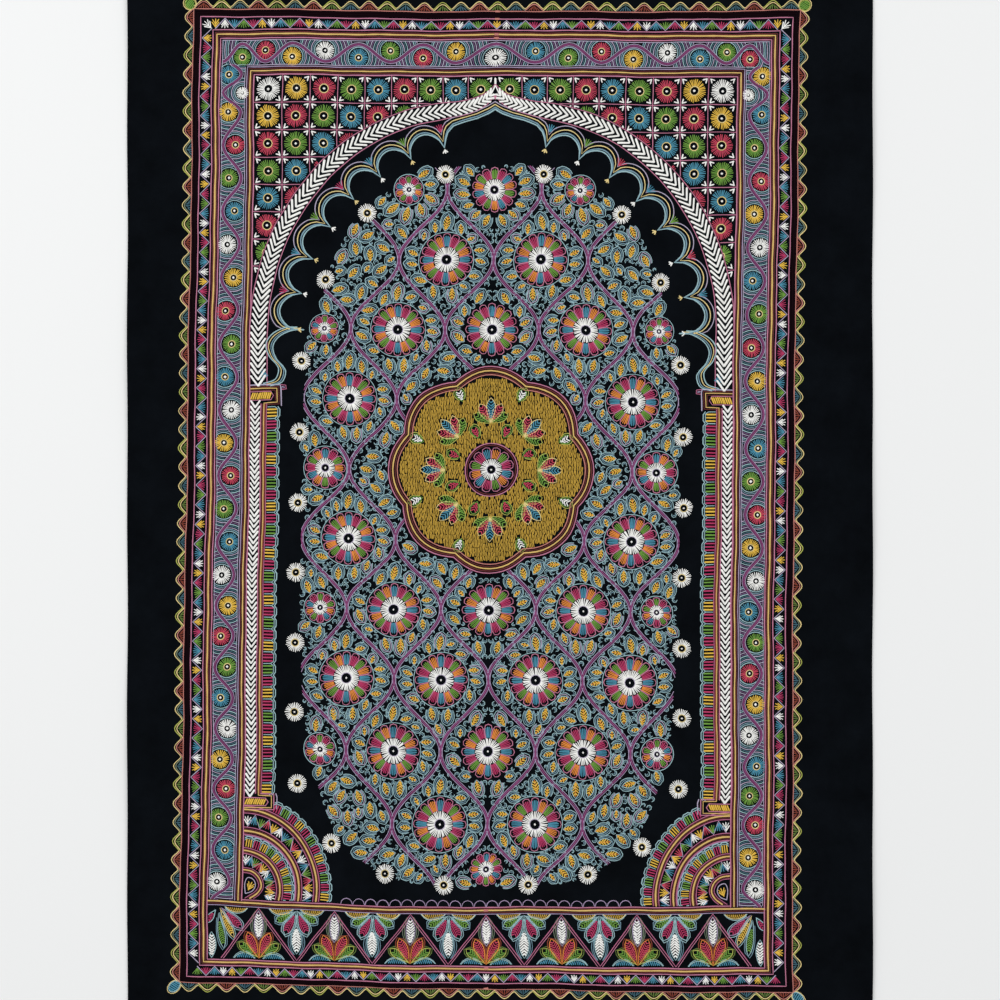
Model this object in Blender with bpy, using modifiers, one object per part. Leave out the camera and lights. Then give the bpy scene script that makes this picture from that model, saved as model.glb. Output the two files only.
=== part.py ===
"""A rogan painted cloth: one length of black cotton, lying flat, with paint laid on it in raised lines.

Metres, +Z up. The cloth lies on z = 0 with its middle at the origin, and +Y is the top of the painted panel.
The cloth and its paint are one solid, because the paint has soaked into the cloth and can't be taken off it.
"""

import math

import bmesh
import bpy
from mathutils import Vector

# The cloth: a handloom width, woven edges left and right, turned hems at the top and bottom.
CLOTH_WIDTH = 0.708
CLOTH_LENGTH = 1.056
CLOTH_THICK = 0.0010
HEM_THICK = 0.0020
HEM_WIDTH = 0.012
HEM_STEP = 0.0012

# The margins lift off the surface in low ripples. The cloth lies flat everywhere inside them.
MARGIN = 0.040
RIPPLE_HEIGHT = 0.0018
CORNER_LIFT = 0.0012

# The painted panel, measured at the outer edge of its dark stripe, and where its middle lies on the cloth.
PANEL_WIDTH = 0.5786
PANEL_LENGTH = 0.9282
PANEL_MIDDLE = Vector((-0.0080, 0.0019))

# The painter ruled the panel by eye, so each corner stands a little off true.
CORNERS_OFF_TRUE = (
    # across, up, shift right, shift up
    (-1, +1, +0.0071, +0.0011),
    (+1, +1, +0.0036, -0.0010),
    (+1, -1, -0.0037, -0.0057),
    (-1, -1, -0.0070, +0.0054),
)

# The paint stands this far above the cloth, and its solid reaches this far into it.
PAINT_HEIGHT = 0.0005
PAINT_BITE = 0.0005

# The scalloped edging outside the dark stripe.
SCALLOP_REACH = 0.0105
SCALLOP_DIP = 0.0030
SCALLOP_PITCH = 0.0173

# Ruled frame lines that run round all four sides: how far in from the dark stripe's edge, and how wide.
OUTER_FRAMES = (
    # inset, line width
    (0.0065, 0.0016),
    (0.0184, 0.0016),
    (0.0224, 0.0022),
    (0.0262, 0.0016),
)
# Frame lines round the niche. They stand on the base line.
NICHE_FRAMES = (
    # inset, line width
    (0.0537, 0.0016),
    (0.0572, 0.0022),
    (0.0603, 0.0016),
)
BASE_LINE_INSET = 0.0790
BASE_LINE_WIDTH = 0.0030

# The least black cloth between two raised shapes that are drawn apart.
CLEAR = 0.0010
NICHE_FLOOR = -PANEL_LENGTH / 2 + BASE_LINE_INSET + BASE_LINE_WIDTH / 2 + CLEAR

# Wheel flowers of the scroll border between the frames, staggered in and out.
SCROLL_MIDDLE_INSET = 0.0399
SCROLL_STAGGER = 0.0034
SCROLL_PITCH = 0.0316
SCROLL_WHEEL_RADIUS = 0.0084

# The lattice of wheel flowers in the two corners over the arch.
LATTICE_INSET = 0.0610
LATTICE_PITCH = 0.02537
LATTICE_COLUMNS = 18
LATTICE_ROWS = 7
LATTICE_WHEEL_RADIUS = 0.0108

# The arch: a half circle on straight legs. Its inner edge is cut into cusps with an ogee at the crown.
ARCH_OUTER_RADIUS = 0.2262
ARCH_SPRING_INSET = 0.3050
ARCH_TIP_RISE = 0.0085
ARCH_STEPS = 44
CUSP_RADIUS = 0.1900
CUSP_BULGE_RADIUS = 0.2035
CROWN_RADIUS = 0.2110
CUSPS_A_SIDE = 8
FIRST_CUSP_ANGLE = math.radians(15.5)
CUSP_PITCH_ANGLE = math.radians(10.7)

# The two columns under the arch, from capital to foot, and the quarter fan in each lower corner.
COLUMN_TOP_INSET = 0.3600
COLUMN_WIDTH = 0.0300
CAPITAL_WIDTH = 0.0360
CAPITAL_HEIGHT = 0.0190
FOOT_HEIGHT = 0.0100
FAN_RADIUS = 0.0850
FAN_MIDDLE_RISE = 0.0125

# The field inside the niche: a lobed medallion among rows of large wheel flowers.
MEDALLION_MIDDLE = Vector((0.0, 0.0266))
MEDALLION_RADIUS = 0.0900
MEDALLION_LOBE_DEPTH = 0.0080
MEDALLION_LOBES = 8
FIELD_WHEEL_RADIUS = 0.0256
CELL_WIDTH = 0.0950
ROW_RISE = 0.0665
FIELD_ROWS = (
    # rows above the medallion's middle, wheels in the row
    (4, 1),
    (3, 2),
    (2, 3),
    (1, 4),
    (-1, 4),
    (-2, 3),
    (-3, 4),
    (-4, 3),
    (-5, 2),
)

# The lotus band under the base line.
BAND_PEAKS = 7.5
BAND_LINE_WIDTH = 0.0018

SMALL_WHEEL_SIDES = 8
LARGE_WHEEL_SIDES = 14

COTTON_BLACK = (0.006, 0.008, 0.010, 1.0)


def clear_scene():
    for obj in list(bpy.data.objects):
        bpy.data.objects.remove(obj, do_unlink=True)


def smooth_step(value):
    value = min(1.0, max(0.0, value))
    return value * value * (3.0 - 2.0 * value)


def even_steps(start, end, count):
    return [start + (end - start) * i / count for i in range(count + 1)]


def on_cloth(x, y):
    """A point of the true panel, measured from its middle, moved to where the painter put it on the cloth."""
    across = x / (PANEL_WIDTH / 2)
    up = y / (PANEL_LENGTH / 2)
    point = PANEL_MIDDLE + Vector((x, y))
    for side, end, shift_right, shift_up in CORNERS_OFF_TRUE:
        share = (1 + side * across) * (1 + end * up) / 4
        point += share * Vector((shift_right, shift_up))
    return point


def lift(x, y):
    """How high the underside of the cloth is off the surface. It's nothing except in the margins."""
    rise_side = smooth_step(1 - (CLOTH_WIDTH / 2 - abs(x)) / MARGIN)
    rise_end = smooth_step(1 - (CLOTH_LENGTH / 2 - abs(y)) / MARGIN)
    hand = 1 if x > 0 else -1
    end = 1 if y > 0 else -1
    wave_side = 0.5 + 0.5 * math.sin(17.0 * y + 1.1 * hand + 0.7)
    wave_end = 0.5 + 0.5 * math.sin(21.0 * x + 0.9 * end + 2.1)
    ripples = RIPPLE_HEIGHT * max(rise_side * wave_side ** 2, rise_end * wave_end ** 2)
    return ripples + CORNER_LIFT * rise_side * rise_end


def grid_columns():
    half = CLOTH_WIDTH / 2
    flat = half - MARGIN
    return even_steps(-half, -flat, 4) + even_steps(-flat, flat, 8)[1:-1] + even_steps(flat, half, 4)


def grid_rows():
    half = CLOTH_LENGTH / 2
    hem = half - HEM_WIDTH
    flat = half - MARGIN
    below = [-half, -hem] + even_steps(-hem + HEM_STEP, -flat, 3)
    above = [-y for y in reversed(below)]
    return below + even_steps(-flat, flat, 14)[1:-1] + above


def make_cloth(collection):
    """The cloth as an open surface along its underside, given its thickness by Solidify."""
    columns = grid_columns()
    rows = grid_rows()
    bpy.ops.mesh.primitive_grid_add(x_subdivisions=len(columns) - 1, y_subdivisions=len(rows) - 1, size=2)
    cloth = bpy.context.object
    cloth.name = "painted_cloth"
    for vertex in cloth.data.vertices:
        column = round((vertex.co.x + 1) / 2 * (len(columns) - 1))
        row = round((vertex.co.y + 1) / 2 * (len(rows) - 1))
        x, y = columns[column], rows[row]
        vertex.co = (x, y, lift(x, y))

    thickness = cloth.vertex_groups.new(name="full thickness")
    hem_inner_edge = CLOTH_LENGTH / 2 - HEM_WIDTH
    for vertex in cloth.data.vertices:
        if abs(vertex.co.y) > hem_inner_edge - HEM_STEP / 2:
            thickness.add([vertex.index], 1.0, "REPLACE")

    solidify = cloth.modifiers.new("cloth thickness", "SOLIDIFY")
    solidify.thickness = HEM_THICK
    solidify.offset = 1.0
    solidify.vertex_group = thickness.name
    solidify.thickness_vertex_group = CLOTH_THICK / HEM_THICK
    for first_home in list(cloth.users_collection):
        first_home.objects.unlink(cloth)
    collection.objects.link(cloth)
    return cloth


def rectangle(inset):
    """The four corners of a frame this far in from the dark stripe's edge."""
    half_width = PANEL_WIDTH / 2 - inset
    half_length = PANEL_LENGTH / 2 - inset
    return box(-half_width, half_width, -half_length, half_length)


def box(left, right, bottom, top):
    return [(left, bottom), (right, bottom), (right, top), (left, top)]


def open_frame(inset, width, foot):
    """A frame line that goes up one side, across the top and down the other side."""
    outer_side = PANEL_WIDTH / 2 - inset + width / 2
    outer_top = PANEL_LENGTH / 2 - inset + width / 2
    inner_side = outer_side - width
    inner_top = outer_top - width
    return [
        (-outer_side, foot),
        (-outer_side, outer_top),
        (outer_side, outer_top),
        (outer_side, foot),
        (inner_side, foot),
        (inner_side, inner_top),
        (-inner_side, inner_top),
        (-inner_side, foot),
    ]


def frame_outlines():
    """The ruled lines of the frames, each the space between two rectangles, and the base line."""
    outlines = []
    for inset, width in OUTER_FRAMES:
        outlines += [rectangle(inset - width / 2), rectangle(inset + width / 2)]
    for inset, width in NICHE_FRAMES:
        outlines.append(open_frame(inset, width, NICHE_FLOOR))
    reach = PANEL_WIDTH / 2 - OUTER_FRAMES[-1][0] - 0.0018
    top = NICHE_FLOOR - CLEAR
    outlines.append(box(-reach, reach, top - BASE_LINE_WIDTH, top))
    return outlines


def scallops_along(start, end, outward):
    """Points of the scalloped edge from one corner of the stripe to the next."""
    length = (end - start).length
    count = round(length / SCALLOP_PITCH)
    points = []
    for step in range(3 * count):
        along = start.lerp(end, step / (3 * count))
        depth = SCALLOP_REACH - (SCALLOP_DIP if step % 3 == 0 else 0)
        points.append(along + outward * depth)
    return points


def scallop_outlines():
    """The scalloped edging, one ring between its outer edge and the edge of the stripe."""
    corners = [Vector(corner) for corner in rectangle(0)]
    outwards = (Vector((0, -1)), Vector((1, 0)), Vector((0, 1)), Vector((-1, 0)))
    outer = []
    for side in range(4):
        outer += scallops_along(corners[side], corners[(side + 1) % 4], outwards[side])
    return [[tuple(point) for point in outer], rectangle(-0.0006)]


def disc(x, y, radius, sides):
    turns = [math.tau * i / sides for i in range(sides)]
    return [(x + radius * math.cos(turn), y + radius * math.sin(turn)) for turn in turns]


def spaced_between(start, end, pitch):
    """Even places from start to end, both included, as near to the pitch as they fit."""
    return even_steps(start, end, max(1, round((end - start) / pitch)))


def scroll_wheels():
    """The wheel flowers of the scroll border: up both sides and across the top, staggered in and out."""
    side = PANEL_WIDTH / 2 - SCROLL_MIDDLE_INSET
    top = PANEL_LENGTH / 2 - SCROLL_MIDDLE_INSET
    foot = -PANEL_LENGTH / 2 + BASE_LINE_INSET + SCROLL_PITCH / 2
    outlines = []
    for place, y in enumerate(spaced_between(foot, top - SCROLL_PITCH, SCROLL_PITCH)):
        stagger = SCROLL_STAGGER * (-1) ** place
        for hand in (-1, 1):
            outlines.append(disc(hand * (side + stagger), y, SCROLL_WHEEL_RADIUS, SMALL_WHEEL_SIDES))
    for place, x in enumerate(spaced_between(-side, side, SCROLL_PITCH)):
        stagger = SCROLL_STAGGER * (-1) ** place
        outlines.append(disc(x, top + stagger, SCROLL_WHEEL_RADIUS, SMALL_WHEEL_SIDES))
    return outlines


def lattice_wheels():
    top = PANEL_LENGTH / 2 - LATTICE_INSET
    spring = PANEL_LENGTH / 2 - ARCH_SPRING_INSET
    clear = ARCH_OUTER_RADIUS + LATTICE_WHEEL_RADIUS + CLEAR
    outlines = []
    for row in range(LATTICE_ROWS):
        for column in range(LATTICE_COLUMNS):
            x = (column + 0.5 - LATTICE_COLUMNS / 2) * LATTICE_PITCH
            y = top - (row + 0.5) * LATTICE_PITCH
            if math.hypot(x, y - spring) > clear:
                outlines.append(disc(x, y, LATTICE_WHEEL_RADIUS, SMALL_WHEEL_SIDES))
    return outlines


def arch_point(angle, radius):
    """A point of the arch, its angle measured from the crown, with the small ogee tip at the crown."""
    spring = PANEL_LENGTH / 2 - ARCH_SPRING_INSET
    tip = ARCH_TIP_RISE * math.exp(-abs(angle) / 0.10)
    return (radius * math.sin(angle), spring + radius * math.cos(angle) + tip)


def cusped_edge():
    """The inner edge of the arch from left to right, one arc to each cusp and an ogee over the middle."""
    tips = [FIRST_CUSP_ANGLE + CUSP_PITCH_ANGLE * place for place in range(CUSPS_A_SIDE)]
    right = []
    for share in even_steps(0, 1, 6)[:-1]:
        bulge = math.cos(share * math.pi / 2) ** 0.5
        right.append(arch_point(tips[0] * share, CUSP_RADIUS + (CROWN_RADIUS - CUSP_RADIUS) * bulge))
    for tip, next_tip in zip(tips, tips[1:]):
        right.append(arch_point(tip, CUSP_RADIUS))
        for share in (0.18, 0.5, 0.82):
            bulge = math.sin(share * math.pi) ** 0.5
            radius = CUSP_RADIUS + (CUSP_BULGE_RADIUS - CUSP_RADIUS) * bulge
            right.append(arch_point(tip + (next_tip - tip) * share, radius))
    right.append(arch_point(tips[-1], CUSP_RADIUS))
    left = [(-x, y) for x, y in reversed(right[1:])]
    return left + right


def arch_outline():
    """The arch as one shape, from the tops of the two columns to its crown."""
    leg_end = PANEL_LENGTH / 2 - COLUMN_TOP_INSET + 0.0012
    outer = [arch_point(angle, ARCH_OUTER_RADIUS) for angle in even_steps(-math.pi / 2, math.pi / 2, ARCH_STEPS)]
    inner = cusped_edge()
    leg = 0.0290
    foot_left = [(-ARCH_OUTER_RADIUS, leg_end)]
    foot_right = [(ARCH_OUTER_RADIUS, leg_end), (ARCH_OUTER_RADIUS - leg, leg_end)]
    bulge = (CUSP_BULGE_RADIUS, leg_end + 0.027)
    return (
        foot_left
        + outer
        + foot_right
        + [bulge]
        + list(reversed(inner))
        + [(-bulge[0], bulge[1]), (-ARCH_OUTER_RADIUS + leg, leg_end)]
    )


def column_outlines():
    """Each column with its capital and foot in one outline, and the fan in the corner under it."""
    wall = PANEL_WIDTH / 2 - NICHE_FRAMES[-1][0] - 0.0024
    top = PANEL_LENGTH / 2 - COLUMN_TOP_INSET
    base = NICHE_FLOOR
    fan_middle = base + FAN_MIDDLE_RISE
    foot = fan_middle + FAN_RADIUS + 0.0015
    outlines = []
    for hand in (-1, 1):
        column = [
            (wall, top),
            (wall - CAPITAL_WIDTH, top),
            (wall - CAPITAL_WIDTH, top - CAPITAL_HEIGHT),
            (wall - COLUMN_WIDTH, top - CAPITAL_HEIGHT),
            (wall - COLUMN_WIDTH, foot + FOOT_HEIGHT),
            (wall - CAPITAL_WIDTH, foot + FOOT_HEIGHT),
            (wall - CAPITAL_WIDTH, foot),
            (wall, foot),
        ]
        fan = [
            (wall - FAN_RADIUS * math.cos(turn), fan_middle + FAN_RADIUS * math.sin(turn))
            for turn in even_steps(-math.asin(FAN_MIDDLE_RISE / FAN_RADIUS), math.pi / 2, 12)
        ]
        outlines.append([(hand * x, y) for x, y in column])
        outlines.append([(hand * x, y) for x, y in fan + [(wall, base)]])
    return outlines


def medallion_outline():
    points = []
    for step in range(6 * MEDALLION_LOBES):
        turn = math.tau * step / (6 * MEDALLION_LOBES)
        radius = MEDALLION_RADIUS - MEDALLION_LOBE_DEPTH * (1 - abs(math.cos(MEDALLION_LOBES * turn / 2)))
        x = MEDALLION_MIDDLE.x + radius * math.cos(turn)
        y = MEDALLION_MIDDLE.y + radius * math.sin(turn)
        points.append((x, y))
    return points


def field_wheels():
    """The rows of large wheel flowers, without the places that the medallion covers."""
    outlines = []
    for row, count in FIELD_ROWS:
        for place in range(count):
            x = (place - (count - 1) / 2) * CELL_WIDTH
            y = row * ROW_RISE
            if math.hypot(x, y) > MEDALLION_RADIUS + FIELD_WHEEL_RADIUS:
                outlines.append(disc(x, MEDALLION_MIDDLE.y + y, FIELD_WHEEL_RADIUS, LARGE_WHEEL_SIDES))
    return outlines


def band_zigzag():
    """The line of the lotus band that runs up and down between the frame and the base line."""
    inset = OUTER_FRAMES[-1][0] + 0.0028
    low = -PANEL_LENGTH / 2 + inset
    high = NICHE_FLOOR - BASE_LINE_WIDTH - 2 * CLEAR - BAND_LINE_WIDTH / 2
    half_width = PANEL_WIDTH / 2 - inset
    corners = even_steps(-half_width, half_width, round(2 * BAND_PEAKS))
    middle = [(x, low if place % 2 else high) for place, x in enumerate(corners)]
    upper = [(x, y + BAND_LINE_WIDTH / 2) for x, y in middle]
    lower = [(x, y - BAND_LINE_WIDTH / 2) for x, y in middle]
    return upper + list(reversed(lower))


def make_paint(collection):
    """The raised paint as one flat drawing, extruded, and made a closed mesh for the union with the cloth."""
    outlines = scallop_outlines() + frame_outlines() + scroll_wheels() + lattice_wheels() + field_wheels()
    outlines += column_outlines() + [arch_outline(), medallion_outline(), band_zigzag()]
    shape = bpy.data.curves.new("paint outlines", "CURVE")
    shape.dimensions = "2D"
    shape.fill_mode = "BOTH"
    shape.extrude = (PAINT_HEIGHT + PAINT_BITE) / 2
    for outline in outlines:
        spline = shape.splines.new("POLY")
        spline.points.add(len(outline) - 1)
        for point, (x, y) in zip(spline.points, outline):
            place = on_cloth(x, y)
            point.co = (place.x, place.y, 0, 1)
        spline.use_cyclic_u = True
    drawn = bpy.data.objects.new("paint outlines", shape)
    collection.objects.link(drawn)
    bpy.context.view_layer.update()
    evaluated = drawn.evaluated_get(bpy.context.evaluated_depsgraph_get())
    mesh = bpy.data.meshes.new_from_object(evaluated)
    bpy.data.objects.remove(drawn, do_unlink=True)

    solid = bmesh.new()
    solid.from_mesh(mesh)
    bmesh.ops.remove_doubles(solid, verts=solid.verts, dist=0.00001)
    bmesh.ops.recalc_face_normals(solid, faces=solid.faces)
    solid.to_mesh(mesh)
    solid.free()

    paint = bpy.data.objects.new("raised_paint", mesh)
    paint.location.z = CLOTH_THICK + (PAINT_HEIGHT - PAINT_BITE) / 2
    paint.hide_render = True
    paint.display_type = "WIRE"
    collection.objects.link(paint)
    return paint


def cotton():
    material = bpy.data.materials.new("black cotton")
    material.use_nodes = True
    shader = material.node_tree.nodes["Principled BSDF"]
    shader.inputs["Base Color"].default_value = COTTON_BLACK
    shader.inputs["Roughness"].default_value = 0.9
    shader.inputs["Metallic"].default_value = 0.0
    return material


def main():
    clear_scene()
    parts = bpy.data.collections.new("rogan painted cloth")
    joined = bpy.data.collections.new("shapes joined to it")
    bpy.context.scene.collection.children.link(parts)
    bpy.context.scene.collection.children.link(joined)

    cloth = make_cloth(parts)
    union = cloth.modifiers.new("paint on the cloth", "BOOLEAN")
    union.operation = "UNION"
    union.object = make_paint(joined)
    cloth.data.materials.append(cotton())


main()
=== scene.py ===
# %% [markdown]
# # A rogan painted cloth
# Rogan is thick oil paint that is drawn out into a thread and laid on cloth, so every line of it stands up
# like fine cord. This lesson builds such a cloth thread by thread: first the camera and the way from a flat
# drawing to the cloth, then the borders, the arch and the flower field, and last the cotton and the light.

# %% Frame
import math
import bpy
import numpy as np
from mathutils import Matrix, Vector


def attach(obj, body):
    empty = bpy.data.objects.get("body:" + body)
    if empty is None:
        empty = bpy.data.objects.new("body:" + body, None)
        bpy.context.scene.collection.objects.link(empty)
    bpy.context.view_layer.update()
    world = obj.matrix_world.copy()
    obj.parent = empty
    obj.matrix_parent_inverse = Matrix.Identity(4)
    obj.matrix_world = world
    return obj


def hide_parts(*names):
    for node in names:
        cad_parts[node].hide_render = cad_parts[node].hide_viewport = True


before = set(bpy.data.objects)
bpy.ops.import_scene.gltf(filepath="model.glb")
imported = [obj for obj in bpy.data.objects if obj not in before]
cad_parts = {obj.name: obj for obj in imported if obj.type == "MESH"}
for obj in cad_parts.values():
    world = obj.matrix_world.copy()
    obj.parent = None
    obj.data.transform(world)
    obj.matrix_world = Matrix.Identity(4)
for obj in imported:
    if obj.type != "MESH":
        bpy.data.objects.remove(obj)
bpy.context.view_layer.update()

# %% [markdown]
# The cloth was photographed from straight above, so the camera hangs over its middle and looks down. A
# longish lens keeps the edges of the panel straight. One thousand pixels of the picture take in 950 mm.

# %% Camera
PICTURE_WIDTH = 0.950
LENS = 60.0
SENSOR = 36.0

lens = bpy.data.cameras.new("overhead_camera")
lens.lens = LENS
lens.sensor_width = SENSOR
lens.clip_start = 0.01
camera = bpy.data.objects.new("overhead_camera", lens)
camera.location = (0, 0, PICTURE_WIDTH * LENS / SENSOR)
bpy.context.scene.collection.objects.link(camera)
bpy.context.scene.camera = camera
print("camera height", round(camera.location.z, 3))

# %% [markdown]
# All the ornament is worked out in millimetres on a true upright panel with its middle at (0, 0). The painter
# ruled the real one by eye: its corners stand a few millimetres off true, its right side bows in, its top
# and base lines sag, and every line wanders. All of that is put in here, so that neighbours wander together.

# %% From the drawing to the cloth
MM = 0.001
CLOTH = (708.0, 1056.0)
PANEL = (578.6, 928.2)
PANEL_MIDDLE = (-8.0, 1.9)
CORNERS_OFF_TRUE = {(-1, 1): (7.1, 1.1), (1, 1): (3.6, -1.0), (1, -1): (-3.7, -5.7), (-1, -1): (-7.0, 5.4)}
RIGHT_SIDE_BOW = 2.6
TOP_EDGE_SAG = 2.2
BASE_LINE_SAG = 6.5
BASE_LINE_TILT = -3.6
CLOTH_THICK = 0.9
HALF_W = PANEL[0] / 2
HALF_L = PANEL[1] / 2


def smooth_step(value):
    value = np.clip(value, 0, 1)
    return value * value * (3 - 2 * value)


def on_cloth(points):
    """Where the painter put the points of the true panel, in millimetres on the cloth."""
    x, y = points[:, 0], points[:, 1]
    across, up = x / HALF_W, y / HALF_L
    place = points + np.array(PANEL_MIDDLE)
    for (side, end), shift in CORNERS_OFF_TRUE.items():
        share = (1 + side * across) * (1 + end * up) / 4
        place = place + share[:, None] * np.array(shift)
    bow = RIGHT_SIDE_BOW * (1 - up ** 2) * (1 + across) / 2
    sag = TOP_EDGE_SAG * smooth_step((up - 0.95) / 0.035)
    sag = sag + (BASE_LINE_SAG + BASE_LINE_TILT * across) * np.interp(up, (-1, -0.83, -0.4), (0.3, 1, 0))
    wander_x = 0.50 * np.sin(y / 41 + 1.3) + 0.32 * np.sin(y / 17.3 + x / 61)
    wander_x = wander_x + 0.16 * np.sin(y / 6.1 + x / 11)
    wander_y = 0.50 * np.sin(x / 37 + 0.4) + 0.32 * np.sin(x / 15.1 + y / 53)
    wander_y = wander_y + 0.16 * np.sin(x / 5.7 + y / 13)
    return place + np.stack([wander_x - bow, wander_y - sag * (1 - across ** 2)], 1)


def underside(x, y):
    """How high the cloth's underside lies at a point, in millimetres: low ripples, only in the margins."""
    margin = 40.0
    rise_side = smooth_step(1 - (CLOTH[0] / 2 - np.abs(x)) / margin)
    rise_end = smooth_step(1 - (CLOTH[1] / 2 - np.abs(y)) / margin)
    wave_side = 0.5 + 0.5 * np.sin(0.017 * y + 1.1 * np.sign(x) + 0.7)
    wave_end = 0.5 + 0.5 * np.sin(0.021 * x + 0.9 * np.sign(y) + 2.1)
    ripples = 1.8 * np.maximum(rise_side * wave_side ** 2, rise_end * wave_end ** 2)
    return ripples + 1.2 * rise_side * rise_end


def topside(x, y):
    """The painted face, with the faint ridge that is left where the cloth was folded down its middle."""
    ridge = 0.22 * np.exp(-((x - PANEL_MIDDLE[0] - 0.0115 * y) / 2.2) ** 2)
    return underside(x, y) + CLOTH_THICK + ridge


print("panel", PANEL, "on cloth", CLOTH)

# %% [markdown]
# A drawing is a list of threads. Each thread is a colour, the points it passes through, its width, and
# whether it closes on itself. Small functions draw one motif near (0, 0), and others move, turn and mirror
# it.

# %% Threads and drawings
hand = np.random.default_rng(11)
LONGEST_STEP = 6.0


def thread(colour, points, width=1.1, closed=False, shake=0.10):
    """One line of paint. Long ones are cut into short steps so that they can wander."""
    points = np.array(points, float)
    path = [points[0]]
    ends = list(points[1:]) + ([points[0]] if closed else [])
    for end in ends:
        steps = max(1, int(np.hypot(*(end - path[-1])) // LONGEST_STEP))
        start = path[-1]
        path += [start + (end - start) * (i + 1) / steps for i in range(steps)]
    if closed:
        path = path[:-1]
    path = np.array(path) + hand.normal(0, shake, 2)
    return [(colour, path, width * (1 + hand.uniform(-0.12, 0.12)), closed)]


def turned(points, turn):
    """The points turned by degrees round (0, 0), anticlockwise."""
    cos, sin = math.cos(math.radians(turn)), math.sin(math.radians(turn))
    return points @ np.array([[cos, sin], [-sin, cos]])


def changed(drawing, change):
    """A copy of the drawing, with a function applied to every thread's points."""
    return [(colour, change(points), width, closed) for colour, points, width, closed in drawing]


def moved(drawing, x=0.0, y=0.0, turn=0.0, flip=False):
    """A copy of the drawing, mirrored left to right if asked, then turned by degrees, then moved."""
    mirror = (-1.0 if flip else 1.0, 1.0)
    return changed(drawing, lambda points: turned(points * mirror, turn) + (x, y))


def both_sides(drawing):
    """The drawing and its mirror image: the cloth is folded down its middle to print the other half."""
    return drawing + moved(drawing, flip=True)


def last_inside(inside, outside, test):
    """The last place on the way from one point to the other that still passes the test."""
    for _ in range(4):
        middle = (inside + outside) / 2
        if test(middle[:1], middle[1:])[0]:
            inside = middle
        else:
            outside = middle
    return inside


def kept(drawing, test, shortest=0.7):
    """Only the stretches of each thread whose points pass the test."""
    left = []
    for colour, points, width, closed in drawing:
        loop = np.vstack([points, points[:1]]) if closed else points
        good = test(loop[:, 0], loop[:, 1])
        if good.all():
            left.append((colour, points, width, closed))
            continue
        runs, run = [], []
        for i, point in enumerate(loop):
            if good[i]:
                if not run and i:
                    run.append(last_inside(point, loop[i - 1], test))
                run.append(point)
            elif run:
                runs.append(np.array(run + [last_inside(run[-1], point, test)]))
                run = []
        if len(run) > 1:
            runs.append(np.array(run))
        for run in runs:
            if np.hypot(*np.ptp(run, axis=0)) > shortest:
                left.append((colour, run, width, False))
    return left


def curve_through(points, steps=5):
    """A smooth line through a few points (a Catmull-Rom spline)."""
    p = np.array(points, float)
    p = np.vstack([2 * p[0] - p[1], p, 2 * p[-1] - p[-2]])
    out = []
    for i in range(1, len(p) - 2):
        linear_part = p[i + 1] - p[i - 1]
        square_part = 2 * p[i - 1] - 5 * p[i] + 4 * p[i + 1] - p[i + 2]
        cube_part = 3 * p[i] - p[i - 1] - 3 * p[i + 1] + p[i + 2]
        for t in np.arange(steps) / steps:
            out.append(p[i] + 0.5 * (linear_part * t + square_part * t ** 2 + cube_part * t ** 3))
    return np.array(out + [p[-2]])


def beside(path, shift):
    """The path moved sideways, to its left if shift is positive."""
    way = np.gradient(path, axis=0)
    way /= np.maximum(np.hypot(way[:, 0], way[:, 1]), 1e-9)[:, None]
    return path + shift * np.stack([-way[:, 1], way[:, 0]], 1)


def arc(radius, start, end, steps, x=0.0, y=0.0):
    """Points of an arc, its angles in degrees from +x, turning anticlockwise."""
    turns = np.radians(np.linspace(start, end, steps + 1))
    return np.stack([x + radius * np.cos(turns), y + radius * np.sin(turns)], 1)


def ring(colour, radius, width=1.0, x=0.0, y=0.0):
    steps = max(10, int(radius * 1.9))
    return thread(colour, arc(radius, 0, 360, steps, x, y)[:-1], width, closed=True, shake=0.05)


def spokes(colour, inner, outer, count, width):
    """A fringe of short threads round a middle, each a little longer or shorter than the next."""
    out = []
    for turn in np.radians(np.arange(count) * 360 / count + hand.normal(0, 1.2, count)):
        reach = outer * (1 + hand.uniform(-0.06, 0.04))
        way = np.array([math.cos(turn), math.sin(turn)])
        out += thread(colour, [way * inner, way * reach], width, shake=0.05)
    return out


def dot(colour, width=2.4):
    return thread(colour, [(-0.3, 0), (0.3, 0)], width, shake=0.1)


drawing = []
print("the painter's hand is seeded")

# %% [markdown]
# The four sides of the panel carry the same frames, so a border motif is drawn flat, as a distance along the
# side and a depth in from its edge, and then laid on each side in turn. The frames sit a little deeper at the
# top than at the sides, and less deep at the bottom.

# %% Sides and ruled frames
SIDES = {
    "top": ((-HALF_W, HALF_L), (1, 0), (0, -1), PANEL[0]),
    "right": ((HALF_W, HALF_L), (0, -1), (-1, 0), PANEL[1]),
    "bottom": ((HALF_W, -HALF_L), (-1, 0), (0, 1), PANEL[0]),
    "left": ((-HALF_W, -HALF_L), (0, 1), (1, 0), PANEL[1]),
}
# Columns: colour, inset at the sides, at the top and at the bottom, width.
FRAME_LINES = (
    ("salmon", -0.4, 0.4, -0.4, 1.0),
    ("dark_maroon", 1.2, 2.1, 1.0, 1.9),
    ("dark_maroon", 2.9, 3.9, 2.5, 1.9),
    ("dark_maroon", 4.6, 5.7, 4.0, 1.9),
    ("pink", 6.3, 7.5, 5.6, 1.2),
    ("pink", 18.2, 20.4, 16.6, 1.1),
    ("maroon", 20.6, 22.9, 18.4, 1.0),
    ("ochre", 22.3, 24.6, 20.0, 1.7),
    ("maroon", 24.0, 26.4, 21.4, 1.2),
    ("pink", 25.8, 28.3, 22.8, 1.3),
)
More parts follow.
